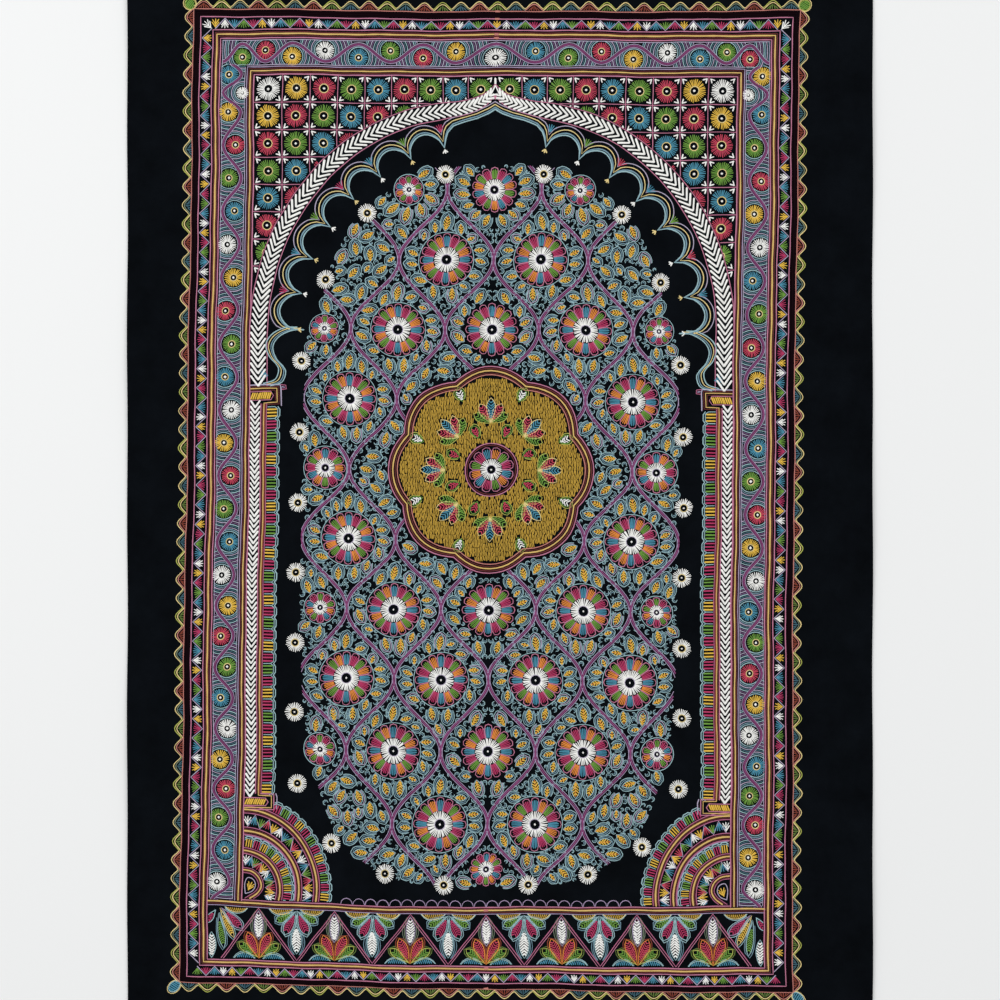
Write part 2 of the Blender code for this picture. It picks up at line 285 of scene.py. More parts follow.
# Columns: colour, inset at the sides and at the top, width. These lines stand on the base line.
NICHE_LINES = (
    ("lilac", 51.6, 55.7, 1.1),
    ("maroon", 53.2, 57.6, 1.0),
    ("ochre", 54.9, 59.6, 1.3),
    ("maroon", 56.6, 61.4, 1.1),
    ("pink", 58.2, 63.0, 1.2),
)
BASE_LINE = -HALF_L + 79.0
WALL = HALF_W - 58.2
NICHE_TOP = HALF_L - 63.0
# Columns: colour, rise over the base line, half length, width.
BASE_LINES = (
    ("pink", 3.1, WALL, 1.2),
    ("maroon", 1.7, WALL, 1.0),
    ("ochre", 0.0, HALF_W - 25.8, 1.8),
    ("maroon", -1.8, HALF_W - 25.8, 1.2),
    ("lilac", -3.4, HALF_W - 25.8, 0.9),
)
# Heights where the fold down the middle has left a thick spot in a ruled line.
FOLD_MARKS = (
    HALF_L - 0.4, HALF_L - 7.5, HALF_L - 24.6, HALF_L - 28.3, BASE_LINE, 21.0 - HALF_L, 0.5 - HALF_L,
)


def on_side(flat, side):
    """Lays a drawing made as (along, depth) on one side of the panel."""
    start, way, inward, _ = SIDES[side]
    return changed(flat, lambda points: start + np.outer(points[:, 0], way) + np.outer(points[:, 1], inward))


frames = []
for colour, side, top, bottom, width in FRAME_LINES:
    x, low, high = HALF_W - side, -HALF_L + bottom, HALF_L - top
    frames += thread(colour, [(-x, low), (x, low), (x, high), (-x, high)], width, closed=True, shake=0.15)
for colour, side, top, width in NICHE_LINES:
    x, low, high = HALF_W - side, BASE_LINE + 2, HALF_L - top
    frames += thread(colour, [(-x, low), (-x, high), (x, high), (x, low)], width, shake=0.15)
for colour, rise, reach, width in BASE_LINES:
    frames += thread(colour, [(-reach, BASE_LINE + rise), (reach, BASE_LINE + rise)], width, shake=0.15)
for y in FOLD_MARKS:
    frames += thread("salmon", [(-1.8, y), (1.8, y)], 2.4)
drawing += frames
print("frame threads", len(frames))

# %% [markdown]
# Outside the dark stripe runs a scalloped edging. Every crest is two rounded lines over a small hatched fan,
# and the crests change colour in turn. Each corner is closed by a hatched leaf.

# %% Scalloped edging
# The colours of a crest: fan, outer line, inner line.
CRESTS = (("rust", "straw", "salmon"), ("olive", "lime", "straw"), ("teal", "straw", "olive_grey"))
CREST_PITCH = 17.8
# Columns: end of the panel, hatching, edge, length, breadth.
CORNER_LEAVES = ((1, "green", "lime", 10.5, 10.0), (-1, "blue", "pale_blue", 12.5, 8.5))


def crest_line(start, pitch, trough, crest):
    """One rounded crest, as points of (along, depth)."""
    t = np.arange(11) / 10
    rise = (0.5 - 0.5 * np.cos(2 * np.pi * t)) ** 0.72
    return np.stack([start + t * pitch, -(trough + (crest - trough) * rise)], 1)


def edging(side):
    length = SIDES[side][3]
    count = round(length / CREST_PITCH)
    pitch = length / count
    flat = []
    for place in range(count):
        fan, outer, inner = CRESTS[place % 3]
        flat += thread(outer, crest_line(place * pitch, pitch, 2.3, 8.8), 0.95, shake=0.04)
        flat += thread(inner, crest_line(place * pitch, pitch, 0.9, 6.8), 1.0, shake=0.04)
        middle = (place + 0.5) * pitch
        for foot in (-5.0, -2.5, 0.0, 2.5, 5.0):
            tip = (middle + foot * 0.5, -5.4 + abs(foot) * 0.40)
            flat += thread(fan, [(middle + foot, -0.9), tip], 1.0, shake=0.08)
    return on_side(flat, side)


def corner_leaf(colour, edge, length, breadth):
    """A hatched leaf from (0, 0) to (0, length)."""
    turn = np.linspace(0, 2 * np.pi, 15)[:-1]
    outline = np.stack([breadth / 2 * np.sin(turn), length / 2 - length / 2 * np.cos(turn)], 1)
    out = thread(edge, outline, 1.0, closed=True)
    out += thread("straw", outline * 1.22 - (0, 0.9), 0.8, closed=True)
    for y in np.arange(0.14, 0.9, 0.15):
        half = breadth / 2 * math.sqrt(1 - (2 * y - 1) ** 2) - 0.9
        out += thread(colour, [(-half, y * length - 0.8), (half, y * length + 0.8)], 1.3)
    return out


edges = []
for side in SIDES:
    edges += edging(side)
for side in (-1, 1):
    for end, colour, edge, length, breadth in CORNER_LEAVES:
        corner = (side * (HALF_W + 0.5), end * (HALF_L + 0.5))
        edges += moved(corner_leaf(colour, edge, length, breadth), *corner, turn=-side * (90 - 45 * end))
drawing += edges
print("edging threads", len(edges))

# %% [markdown]
# The narrow band between the two pink lines is a zigzag with a sprig in every peak. Its sprigs run through
# five colours. The white and yellow ones are barbed stems, and the others are fans of threads laid close.

# %% Zigzag band
# Columns: peaks, distance of the first from the corner, depth of the outer and inner peaks, first colour.
ZIGZAGS = {
    "top": (60, 20.6, 9.0, 19.2, 0),
    "right": (96, 19.0, 7.7, 17.2, 1),
    "bottom": (66, 16.0, 6.8, 15.6, 2),
    "left": (96, 19.0, 7.7, 17.2, 0),
}
SPRIG_COLOURS = ("yellow", "white", "blue", "green", "magenta")
BOTTOM_SPRIG_COLOURS = ("white", "blue", "magenta", "green", "yellow")


def sprig(colour, size):
    """A sprig that grows from (0, 0) down to (0, -size), filling a peak."""
    out = []
    if colour in ("white", "yellow", "straw"):
        out += thread(colour, [(0, 0), (0, -size)], 1.0, shake=0.06)
        for side in (-1, 1):
            out += thread(colour, [(0, -0.06 * size), (side * 0.40 * size, -0.62 * size)], 1.1, shake=0.06)
            out += thread(colour, [(0, -0.32 * size), (side * 0.36 * size, -0.92 * size)], 1.0, shake=0.06)
        return out
    for lean in (-34, -17, 0, 17, 34):
        reach = 0.94 * size
        tip = (reach * math.tan(math.radians(lean)), -reach + abs(lean) * 0.004 * size)
        out += thread(colour, [(lean * 0.008, -0.06 * size), tip], 0.9, shake=0.06)
    return out


def zigzag_band(side):
    count, start, near, far, first = ZIGZAGS[side]
    colours = BOTTOM_SPRIG_COLOURS if side == "bottom" else SPRIG_COLOURS
    half_pitch = (SIDES[side][3] - 2 * start) / count
    corners = [(start + k * half_pitch, near if k % 2 else far) for k in range(count + 1)]
    flat = thread("grey_lilac", corners, 0.95, shake=0.04)
    size = far - near - 2.2
    for k, (along, _) in enumerate(corners):
        # The upper and lower ends of the side bands are left to the corners.
        if k in (0, count) and side in ("left", "right"):
            continue
        colour = colours[(k + first) % 5]
        if k % 2:
            flat += moved(sprig(colour, size), along, near + 1.5, turn=180)
        else:
            flat += moved(sprig(colour, size), along, far - 1.5)
    return on_side(flat, side)


bands = []
for side in SIDES:
    bands += zigzag_band(side)
for side in (-1, 1):
    bands += moved(sprig("white", 9.0), side * (HALF_W - 16.5), HALF_L - 18.5, turn=180 - 45 * side)
drawing += bands
print("zigzag threads", len(bands))

# %% [markdown]
# The wide border is a scroll: a purple stem swings from side to side, and a wheel flower sits in each bend.
# A wheel is a fringe of short threads round a pale ring, with black cloth and one white dot in its middle.
# The ground behind each wheel is filled with rings round it, which stop at the stem and halfway to the next
# wheel.

# %% Scroll border
WHEEL_R = 8.4
STEM_SWING = 8.6
TOP_WHEELS = (0.0, 37.9, 69.2, 100.5, 131.2, 163.4, 194.9, 220.4, 242.6)
TOP_COLOURS = {
    1: ("white", "blue", "green", "crimson", "yellow", "white", "blue", "green", "crimson"),
    -1: ("white", "yellow", "crimson", "green", "blue", "white", "yellow", "crimson", "green"),
}
SIDE_CYCLE = {
    "left": ("yellow", "crimson", "green", "blue", "white"),
    "right": ("blue", "green", "crimson", "yellow", "white"),
}
SIDE_FIRST = {"left": "blue", "right": "yellow"}
SIDE_START = 99.0
SIDE_GAPS = (31.53,) * 14 + (29.1,) * 6 + (27.6, 27.6, 30.4, 30.4)
GROUND_SHADES = ("pale_blue", "grey_blue", "grey_lilac", "teal", "pale_blue", "plum", "grey_lilac", "plum")
GROUND_RINGS = 15
RINGS_AT_ENDS = 25
RING_PITCH = 1.62
# Columns: how far beside the stem's middle, colour, width.
STEM_LINES = ((-1.5, "grey_lilac", 0.75), (-0.35, "purple", 1.1), (0.6, "purple", 0.7), (1.6, "lilac", 0.75))


def wheel(colour, radius, hub, count, width):
    out = spokes(colour, hub + 0.6, radius, count, width)
    out += ring("white" if colour == "white" else "straw", hub, 0.95)
    return out + dot("white")


def stem_line(wheels, middle):
    """The stem's points: it passes every wheel on the side that the wheel leaves free."""
    out = []
    for (a, side), (b, _) in zip(wheels[:-1], wheels[1:]):
        for t in np.arange(8) / 8:
            out.append((a + (b - a) * t, middle - side * STEM_SWING * math.cos(math.pi * t)))
    last, side = wheels[-1]
    return np.array(out + [(last, middle - side * STEM_SWING)])


def scroll(wheels, middle, stagger, least_depth, most_depth, first, last):
    """A run of the scroll as (along, depth). A wheel is (along, side, colour, radius, stretch, deeper)."""
    bends = [(wheels[0][0] - 19.0, -wheels[0][1])] + [w[:2] for w in wheels]
    bends.append((wheels[-1][0] + 19.0, -wheels[-1][1]))
    stem = stem_line(bends, middle)
    places = np.array([(w[0], middle + w[1] * stagger + w[5]) for w in wheels])
    sides = np.array([w[1] for w in wheels])
    radii = np.array([w[3] for w in wheels])
    in_band = lambda s, d: (d > least_depth) & (d < most_depth) & (s > first) & (s < last)
    flat = []
    for place, (_, side, colour, radius, stretch, _) in enumerate(wheels):
        large = radius > 7
        motif = wheel(colour, radius, 3.3 if large else 2.2, 28 if large else 20, 1.0)
        put = lambda points: points * (stretch, 1) + places[place]
        flat += changed(motif, put)

        def own_ground(s, d):
            reach = np.hypot(s[:, None] - places[:, 0], d[:, None] - places[:, 1]) - radii
            own_side = side * (d - np.interp(s, stem[:, 0], stem[:, 1])) > 2.6
            nearest = reach[:, sides == side].min(axis=1)
            return in_band(s, d) & own_side & (reach[:, place] <= nearest + 0.01) & (reach.min(axis=1) > 0.9)

        at_an_end = place < 2 or place >= len(wheels) - 2
        for number in range(RINGS_AT_ENDS if at_an_end else GROUND_RINGS):
            gap = 1.7 + RING_PITCH * number
            round_it = arc(radius + gap, 0, 360, 24 + int(gap * 2))[:-1]
            circle = thread(GROUND_SHADES[number % 8], round_it, 0.9, closed=True, shake=0.03)
            flat += kept(changed(circle, put), own_ground, 1.5)
    for shift, colour, width in STEM_LINES:
        flat += kept(thread(colour, beside(stem, shift), width, shake=0.03), in_band)
    return flat


def scroll_threads():
    top = []
    for way in (-1, 1):
        for place, x in enumerate(TOP_WHEELS):
            if place or way > 0:
                shape = (WHEEL_R if place < 8 else 7.9, 1.0 if place else 1.2, 1.2)
                top.append((HALF_W + way * x, 1 - 2 * (place % 2), TOP_COLOURS[way][place], *shape))
    top.sort()
    out = on_side(scroll(top, 42.1, 3.2, 30.6, 53.8, 28.0, PANEL[0] - 28.0), "top")
    alongs = SIDE_START + np.r_[0, np.cumsum(SIDE_GAPS)]
    for side in ("left", "right"):
        run = [(63.0, -1, SIDE_FIRST[side], WHEEL_R, 1.0, 0.0), (80.5, 1, "white", 5.6, 1.0, 6.6)]
        for k, along in enumerate(alongs):
            run.append((along, -1 if k % 2 == 0 else 1, SIDE_CYCLE[side][k % 5], WHEEL_R, 1.0, 0.0))
        flat = on_side(scroll(run, 37.9, 3.2, 27.4, 50.0, 53.0, PANEL[1] - 80.5), "right")
        out += moved(flat, flip=side == "left")
    for inset in (27.8, 49.9):
        for side in (-1, 1):
            x = side * (HALF_W - inset)
            high = HALF_L - (30.3 if inset < 30 else 56.5)
            out += thread("grey_lilac", [(x, BASE_LINE + 3), (x, high)], 0.8)
    for depth in (30.3, 53.9):
        reach = HALF_W - (27.8 if depth < 40 else 51.0)
        out += thread("grey_lilac", [(-reach, HALF_L - depth), (reach, HALF_L - depth)], 0.8)
    return out


scrolls = scroll_threads()
drawing += scrolls
print("scroll threads", len(scrolls))

# %% [markdown]
# In the two corners over the arch a lattice of pink lines holds one wheel to a cell. The colours run in
# diagonals from the corner. A small white bracket fills each corner of a cell. The arch cuts the cells off,
# so its line comes first. Its radii were measured in pixels of the picture, from the springing line.

# %% The arch's line
SPRING = HALF_L - 305.0
CAPITAL_TOP = 102.5
MM_PER_PIXEL = 0.95


def arch_radius(degrees):
    """The middle of the arch's band, from the crown (0) to the springing (90): round, with an ogee tip."""
    at = (0, 10, 16, 24, 34, 48, 65, 90)
    radius = np.interp(degrees, at, (224.5, 224.6, 226.5, 229.5, 232.0, 233.5, 234.5, 234.5))
    return MM_PER_PIXEL * (radius + 16 * np.exp(-np.asarray(degrees) / 2.6))


def band_half(degrees):
    return MM_PER_PIXEL * np.interp(degrees, (0, 5, 15, 90), (5.0, 5.8, 7.6, 8.1))


def arch_path(side):
    """The right half of a line along the arch, at a share of the band's half width out (+) or in (-)."""
    degrees = np.r_[np.linspace(0, 9, 16), np.linspace(10, 90, 48)]
    radius = arch_radius(degrees) + side * band_half(degrees)
    turn = np.radians(degrees)
    curve = np.stack([radius * np.sin(turn), SPRING + radius * np.cos(turn)], 1)
    leg = np.linspace(SPRING, CAPITAL_TOP + 1, 9)[1:]
    return np.vstack([curve, np.stack([np.full(8, curve[-1, 0]), leg], 1)])


def off_crown(x, y):
    """Degrees from the crown, seen from the middle of the springing line."""
    return np.degrees(np.arctan2(np.abs(x), np.maximum(y - SPRING, 1e-6)))


def outside_arch(x, y):
    degrees = off_crown(x, y)
    reach = np.hypot(x, y - SPRING)
    return (reach > arch_radius(degrees) + band_half(degrees) + 1.6) & (y > SPRING)


def at_arch(degrees, radius):
    """A place over the springing line, its radius in pixels of the picture."""
    turn = math.radians(degrees)
    return (MM_PER_PIXEL * radius * math.sin(turn), SPRING + MM_PER_PIXEL * radius * math.cos(turn))


print("arch from", round(SPRING, 1), "to", round(SPRING + float(arch_radius(0)), 1))

# %% Lattice
COLUMN_GAPS = (14.2, 26.7, 26.4, 26.0, 25.6, 25.2, 24.8, 24.4, 24.0)
CELL_HIGH = 26.1
LATTICE_COLOURS = ("white", "yellow", "crimson", "green", "blue", "crimson", "green", "blue", "green")


def brackets(cell_wide):
    """White brackets in the four corners of a cell round (0, 0)."""
    out = []
    for side in (-1, 1):
        for end in (-1, 1):
            corner = (side * (cell_wide / 2 - 1.8), end * (CELL_HIGH / 2 - 1.8))
            for arm in ((-3.8, -1.1), (-1.1, -3.8)):
                out += thread("white", [corner, (corner[0] + side * arm[0], corner[1] + end * arm[1])], 1.3)
    return out


def lattice():
    out = []
    middles = WALL - np.cumsum(COLUMN_GAPS)
    for row in range(9):
        y = NICHE_TOP - 0.6 - (row + 0.5) * CELL_HIGH
        for column, x in enumerate(middles):
            colour = LATTICE_COLOURS[(row + column) % 9]
            out += moved(wheel(colour, 10.5, 4.3, 34, 0.95) + brackets(COLUMN_GAPS[max(column, 1)]), x, y)
        out += thread("pink", [(0, y - CELL_HIGH / 2), (WALL, y - CELL_HIGH / 2)], 0.8)
    for x in (middles[1:] + middles[:-1]) / 2:
        out += thread("pink", [(x, NICHE_TOP), (x, SPRING)], 0.8)
    return both_sides(kept(out, lambda x, y: (x > 0.2) & (x < WALL - 0.5) & outside_arch(x, y)))


spandrels = lattice()
drawing += spandrels
print("lattice threads", len(spandrels))

# %% [markdown]
# The arch's band is filled with white chevrons that run down both legs. Under it hang cusps: lines that
# follow each other from tip to tip, with a bud on every tip and a sprig in the gap behind it.

# %% Arch, cusps
CUSP_FIRST = 15.5
CUSP_PITCH = 10.7
CUSPS = 8
CROWN_AT = (0, 1.6, 4.8, 8.0, 11.6, 13.6, 14.9, CUSP_FIRST)
# Columns: colour, width, how far outside the first line at the tips and in the bows, radii under the crown.
CUSP_LINES = (
    ("pale_blue", 1.2, -0.6, -1.0, (220.6, 216.8, 213.0, 211.4, 208.8, 203.6, 195.9, 189.4)),
    ("grey_blue", 1.3, 0.7, 1.1, (222.6, 218.8, 215.0, 213.4, 210.8, 205.4, 197.5, 190.7)),
    ("straw", 1.0, 6.0, 4.5, (225.4, 221.6, 217.6, 215.8, 213.8, 210.2, 204.0, 196.0)),
    ("grey_lilac", 0.9, 13.0, 8.5, (228.4, 224.6, 220.2, 218.4, 217.0, 214.2, 209.5, 203.0)),
)
# The last cusp's line, which curls down to the capital, and its lines: shift, colour, width.
ARCH_FOOT = (
    (179.6, 157.9), (191, 157), (203, 150.5), (208.5, 141), (205.5, 130),
    (199, 122.5), (196.5, 116.5), (200, 107.5), (211, 103.6),
)
FOOT_LINES = ((0, "pale_blue", 1.2), (1.7, "grey_blue", 1.1), (4.2, "straw", 1.0), (6.6, "pale_blue", 1.1))
# Columns: side, colours of the buds, colours of the sprigs.
CUSP_COLOURS = (
    (1, ("straw", "white"), ("blue", "green", "crimson")),
    (-1, ("white", "straw"), ("magenta", "green", "blue")),
)


def chevrons(path, half, pitch, width, reach, start=0.0):
    """White V strokes along a path, pointing along it. half and pitch are functions of the way gone."""
    steps = np.hypot(*np.diff(path, axis=0).T)
    along = np.r_[0, np.cumsum(steps)]
    out = []
    place = start
    while place < along[-1] - half(along[-1]) * 0.4:
        here = np.array([np.interp(place, along, path[:, i]) for i in (0, 1)])
        ahead = np.array([np.interp(min(place + 1, along[-1]), along, path[:, i]) for i in (0, 1)])
        way = ahead - here
        way /= max(np.hypot(*way), 1e-9)
        out_way = np.array([-way[1], way[0]])
        arm = half(place) - 0.9
        for side in (-1, 1):
            end = here + out_way * side * arm - way * arm * reach / 2
            point = here + way * arm * reach / 2 + out_way * side * 0.1
            out += thread("white", [end, point], width, shake=0.12)
        place += pitch(place)
    return out


def cusp_line(tip_out, bow_out, crown):
    """One line under the arch, from the crown to the last bud."""
    degrees = list(np.linspace(0, CUSP_FIRST, 17))
    radius = list(np.interp(degrees, CROWN_AT, crown))
    for k in range(CUSPS - 1):
        for t in np.arange(1, 13) / 12:
            here = CUSP_FIRST + CUSP_PITCH * (k + t)
            tip = 190 + tip_out + 6 * (here - CUSP_FIRST) / 64
            bow = 209 + bow_out + 6.5 * (here - 20) / 65
            degrees.append(here)
            radius.append(tip + (bow - tip) * math.sin(math.pi * t) ** 0.55)
    return np.array([at_arch(d, r) for d, r in zip(degrees, radius)])


def bud(colour):
    out = []
    for lean in (-42, 0, 42):
        way = (3.0 * math.sin(math.radians(lean)), -3.2 * math.cos(math.radians(lean)))
        out += thread(colour, [(0, 0), way], 1.3)
    return out


def cusped_arch():
    half = thread("pink", arch_path(1.10), 0.8) + thread("pink", arch_path(-1.14), 0.9)
    band = lambda s: float(band_half(min(90, s / 3.9)))
    pitch = lambda s: np.interp(s, (5, 60), (4.2, 5.9))
    half += chevrons(arch_path(0.0), band, pitch, 2.0, reach=1.4, start=5.0)
    for colour, width, tip_out, bow_out, crown in CUSP_LINES:
        half += thread(colour, cusp_line(tip_out, bow_out, crown), width, shake=0.05)
    foot = curve_through(ARCH_FOOT)
    for shift, colour, width in FOOT_LINES:
        half += thread(colour, foot + (shift, shift * 0.35), width)
    half += moved(sprig("blue", 8.0), 213.0, 113.5, turn=100)
    half += thread("white", [at_arch(0, 244.5), at_arch(1.2, 234.0)], 1.3)
    out = both_sides(half)
    out += thread("white", [at_arch(0, 246.5), at_arch(0, 251.5)], 2.2)
    out += thread("pink", [at_arch(0, 233.5), at_arch(0, 231.0)], 2.2)
    for side, buds, sprigs in CUSP_COLOURS:
        for k in range(CUSPS):
            degrees = CUSP_FIRST + CUSP_PITCH * k
            tip = 187.5 + 6 * (degrees - CUSP_FIRST) / 64
            motif = moved(bud(buds[k % 2]), *at_arch(degrees, tip), turn=-degrees)
            gap = (204 + 6.5 * (degrees - CUSP_FIRST) / 65) + (0 if k else 1.5)
            if k < CUSPS - 1:
                motif += moved(sprig(sprigs[k % 3], 8.2), *at_arch(degrees, gap), turn=180 - degrees)
            out += moved(motif, flip=side < 0)
    return out


arches = cusped_arch()
drawing += arches
print("arch threads", len(arches))

# %% [markdown]
# Each leg of the arch stands on a capital and a slim column. The column repeats the chevrons between ruled
# lines, and on its inner side hangs a row of round-ended lobes, each filled with three threads.

# %% Columns
LOBE_COLOURS = ("yellow", "magenta", "green", "magenta")
SHAFT = (84.0, -283.2)
LOBES = 33
LOBE_RIM = 0.8
# Columns: colour, distance in from the wall, width.
SHAFT_LINES = (("pink", 10.9, 1.2), ("maroon", 12.2, 1.0), ("rust", 15.0, 1.2), ("rose", 16.3, 0.9))


def lobe(colour, reach, pitch):
    """A lobe that hangs from (0, 0) to (0, -reach), under two scalloped lines."""
    half = pitch / 2
    out = []
    for x in (-0.28, 0.0, 0.28):
        out += thread(colour, [(x * pitch, -0.5), (x * pitch, -reach * 0.86)], pitch * 0.145, shake=0.08)
    side = [(-half, -0.6), (-half, -reach * 0.72)]
    round_end = [(-half * 0.62, -reach * 0.98), (half * 0.62, -reach * 0.98), (half, -reach * 0.72)]
    out += thread("pale_blue", side + round_end, 0.85, shake=0.04)
    low = reach + 2.2 * LOBE_RIM
    scallop = [(-half, -low + 1.9), (-half * 0.5, -low), (half * 0.5, -low), (half, -low + 1.9)]
    return out + thread("pale_blue", scallop, 1.1, shake=0.04)


def at_wall(points):
    """Points given as (distance in from the niche's wall, height)."""
    return [(WALL - u, y) for u, y in points]


def twisted_bar(low, high):
    """The short golden bar in a capital or a foot."""
    end = [(0.8, low), (20.5, low), (23.0, (low + high) / 2), (20.5, high), (0.8, high)]
    out = thread("pink", at_wall(end), 0.9)
    for u in np.arange(2.4, 21, 1.9):
        out += thread("yellow", at_wall([(u - 1.0, low + 1.3), (u + 1.0, high - 1.3)]), 1.5)
    return out


def column():
    top, foot = SHAFT
    pitch = (top - foot) / LOBES
    out = []
    for colour, u, width in SHAFT_LINES:
        out += thread(colour, at_wall([(u, top + 3), (u, foot + 1)]), width)
    out += thread("pink", at_wall([(0.5, top + 3), (0.5, foot + 1)]), 0.7)
    shaft = np.array(at_wall([(5.6, y) for y in np.linspace(top + 3, foot - 1.6, 60)]))
    out += chevrons(shaft, lambda s: 5.1, lambda s: 5.2, 1.9, reach=1.45)
    for k in range(LOBES):
        flat = lobe(LOBE_COLOURS[k % 4], 10.3, pitch)
        out += moved(flat, WALL - 16.9, top - (k + 0.5) * pitch, turn=-90)
    ledge = [(0.8, 101.5), (26.4, 101.5), (26.4, 88.2), (13.8, 87.6), (13.8, foot - 0.6)]
    ledge += [(26.4, foot - 1.0), (26.4, foot - 12.0), (0.8, foot - 12.4)]
    out += thread("ochre", at_wall(ledge), 1.2)
    out += thread("maroon", at_wall([(0.8, 103.2), (28.2, 103.2), (28.2, 86.6), (16.0, 86.0)]), 1.1)
    out += thread("maroon", at_wall([(0.8, 99.8), (24.7, 99.8), (24.7, 90.0)]), 1.0)
    out += thread("grey_lilac", at_wall([(0.8, 104.9), (29.6, 104.9), (30.4, 102.0), (30.4, 85.0)]), 1.1)
    out += thread("rose", at_wall([(30.0, 105.0), (35.0, 104.6), (35.5, 101.0), (31.2, 100.6)]), 1.1)
    out += thread("lilac", at_wall([(31.4, 103.2), (34.0, 102.8)]), 1.0)
    plinth = [(16.0, foot + 1.2), (28.6, foot + 0.8), (28.8, foot - 13.6), (0.8, foot - 14.2)]
    out += thread("pink", at_wall(plinth), 1.2)
    out += thread("grey_lilac", at_wall([(30.4, foot + 1.0), (31.6, foot - 2.4), (31.2, foot - 13)]), 1.0)
    return both_sides(out + twisted_bar(90.6, 98.6) + twisted_bar(foot - 10.2, foot - 3.0))


columns = column()
drawing += columns
print("column threads", len(columns))

# %% [markdown]
# A quarter fan fills each lower corner of the niche. Ruled rings divide it, and between them zigzags with
# sprigs take turns with rows of lobes. Along the base line runs one thin scalloped thread.

# %% Corner fans
FAN_MIDDLE = (-WALL, BASE_LINE + 13.6)
RING_RADII = (35.6, 53.8, 70.5)
# Columns: how far beside the line of the ring or of the drop, colour, width.
RING_LINES = (
    (-2.9, "rose", 1.1),
    (-1.5, "maroon", 1.0),
    (0, "ochre", 1.6),
    (1.5, "maroon", 1.0),
    (2.9, "rose", 1.0),
)
DROP_LINES = (
    (2.0, "rose", 0.9),
    (1.0, "maroon", 0.9),
    (0.0, "ochre", 1.5),
    (-1.4, "maroon", 1.0),
    (-2.6, "rose", 0.9),
)
DROP = ((-0.5, 17.5), (9, 16.3), (15.5, 11), (18, 3), (14.5, -4), (8, -9), (2, -13))
DROP_CORE = ((3.5, -5), (2.5, 4), (5, 10), (10.5, 8.5), (12.5, 3), (9.5, -2.5), (3.5, -5))


def at_ring(radius, degrees):
    """A place in the left fan. Its outer rings stand a little taller than they are wide."""
    turn = math.radians(degrees)
    tall = 1 + 0.055 * min(1, max(0, (radius - 50) / 20))
    return (FAN_MIDDLE[0] + radius * math.cos(turn), FAN_MIDDLE[1] + tall * radius * math.sin(turn))


def lowest(radius):
    """The degrees at which a ring of the fan meets the base line."""
    return -math.degrees(math.asin(min(1, 9.1 / radius)))


def sprig_ring(inner, outer, start, count):
    degrees = np.linspace(start, lowest(inner), count + 1)
    zigzag = [at_ring(outer if k % 2 else inner, d) for k, d in enumerate(degrees)]
    out = thread("grey_lilac", zigzag, 0.95, shake=0.04)
    size = (outer - inner) * 0.84
    for k, d in enumerate(degrees):
        colour = ("white", "blue", "green", "crimson", "yellow")[k % 5]
        if k % 2:
            out += moved(sprig(colour, size), *at_ring(outer - 1.4, d), turn=d - 90)
        else:
            out += moved(sprig(colour, size), *at_ring(inner + 1.2, d), turn=90 + d)
    return out


def lobe_ring(inner, reach, start, count, colours):
    out = []
    span = (start - lowest(inner + reach / 2)) / count
    pitch = math.radians(span) * (inner + reach * 0.75)
    for k in range(count):
        d = start - span * (k + 0.5)
        out += moved(lobe(colours[k % 4], reach, pitch), *at_ring(inner, d), turn=90 + d)
    return out


def fan():
    drop = curve_through(DROP, 4) + FAN_MIDDLE
    out = []
    for shift, colour, width in DROP_LINES:
        out += thread(colour, beside(drop, shift), width)
    out += thread("grey_lilac", curve_through(DROP_CORE, 4) + FAN_MIDDLE, 1.0)
    out += moved(sprig("yellow", 8.0), FAN_MIDDLE[0] + 6.0, FAN_MIDDLE[1] - 1.5, turn=158)
    for radius in RING_RADII:
        for shift, colour, width in RING_LINES:
            here = radius + shift
            path = [at_ring(here, d) for d in np.linspace(90, lowest(here), int(radius / 2.5) + 6)]
            out += thread(colour, path, width)
    out += sprig_ring(22.0, 32.0, 84, 11)
    out += sprig_ring(57.4, 67.0, 86, 16)
    out += lobe_ring(39.2, 8.4, 88, 10, ("yellow", "magenta", "yellow", "green"))
    out += thread("lilac", [at_ring(50.0, d) for d in np.linspace(88, lowest(50), 24)], 0.9)
    out += lobe_ring(74.2, 8.6, 69, 12, ("magenta", "green", "magenta", "yellow"))
    return both_sides(kept(out, lambda x, y: (x > -WALL + 0.8) & (y > BASE_LINE + 4.4)))


fans = fan()
for foot in np.arange(-138, 132, 11.5):
    fans += thread("lilac", arc(5.4, 180, 0, 6, foot + 5.7, BASE_LINE + 3.8), 0.8)
drawing += fans
print("fan threads", len(fans))

# %% [markdown]
# Under the base line a zigzag divides the lotus band into triangles. Each holds one plant, upright or
# hanging: a white spindle, a pair of petals, a pair of green lobes, and a half-moon leaf along each side of
# its root.

# %% Petals and the lotus band
def petal_half(t, breadth, peak):
    """Half the breadth of a petal at a share t of its length; peak is where it is broadest."""
    return breadth / 2 * np.sin(np.pi * t ** (math.log(0.5) / math.log(peak))) ** 0.75


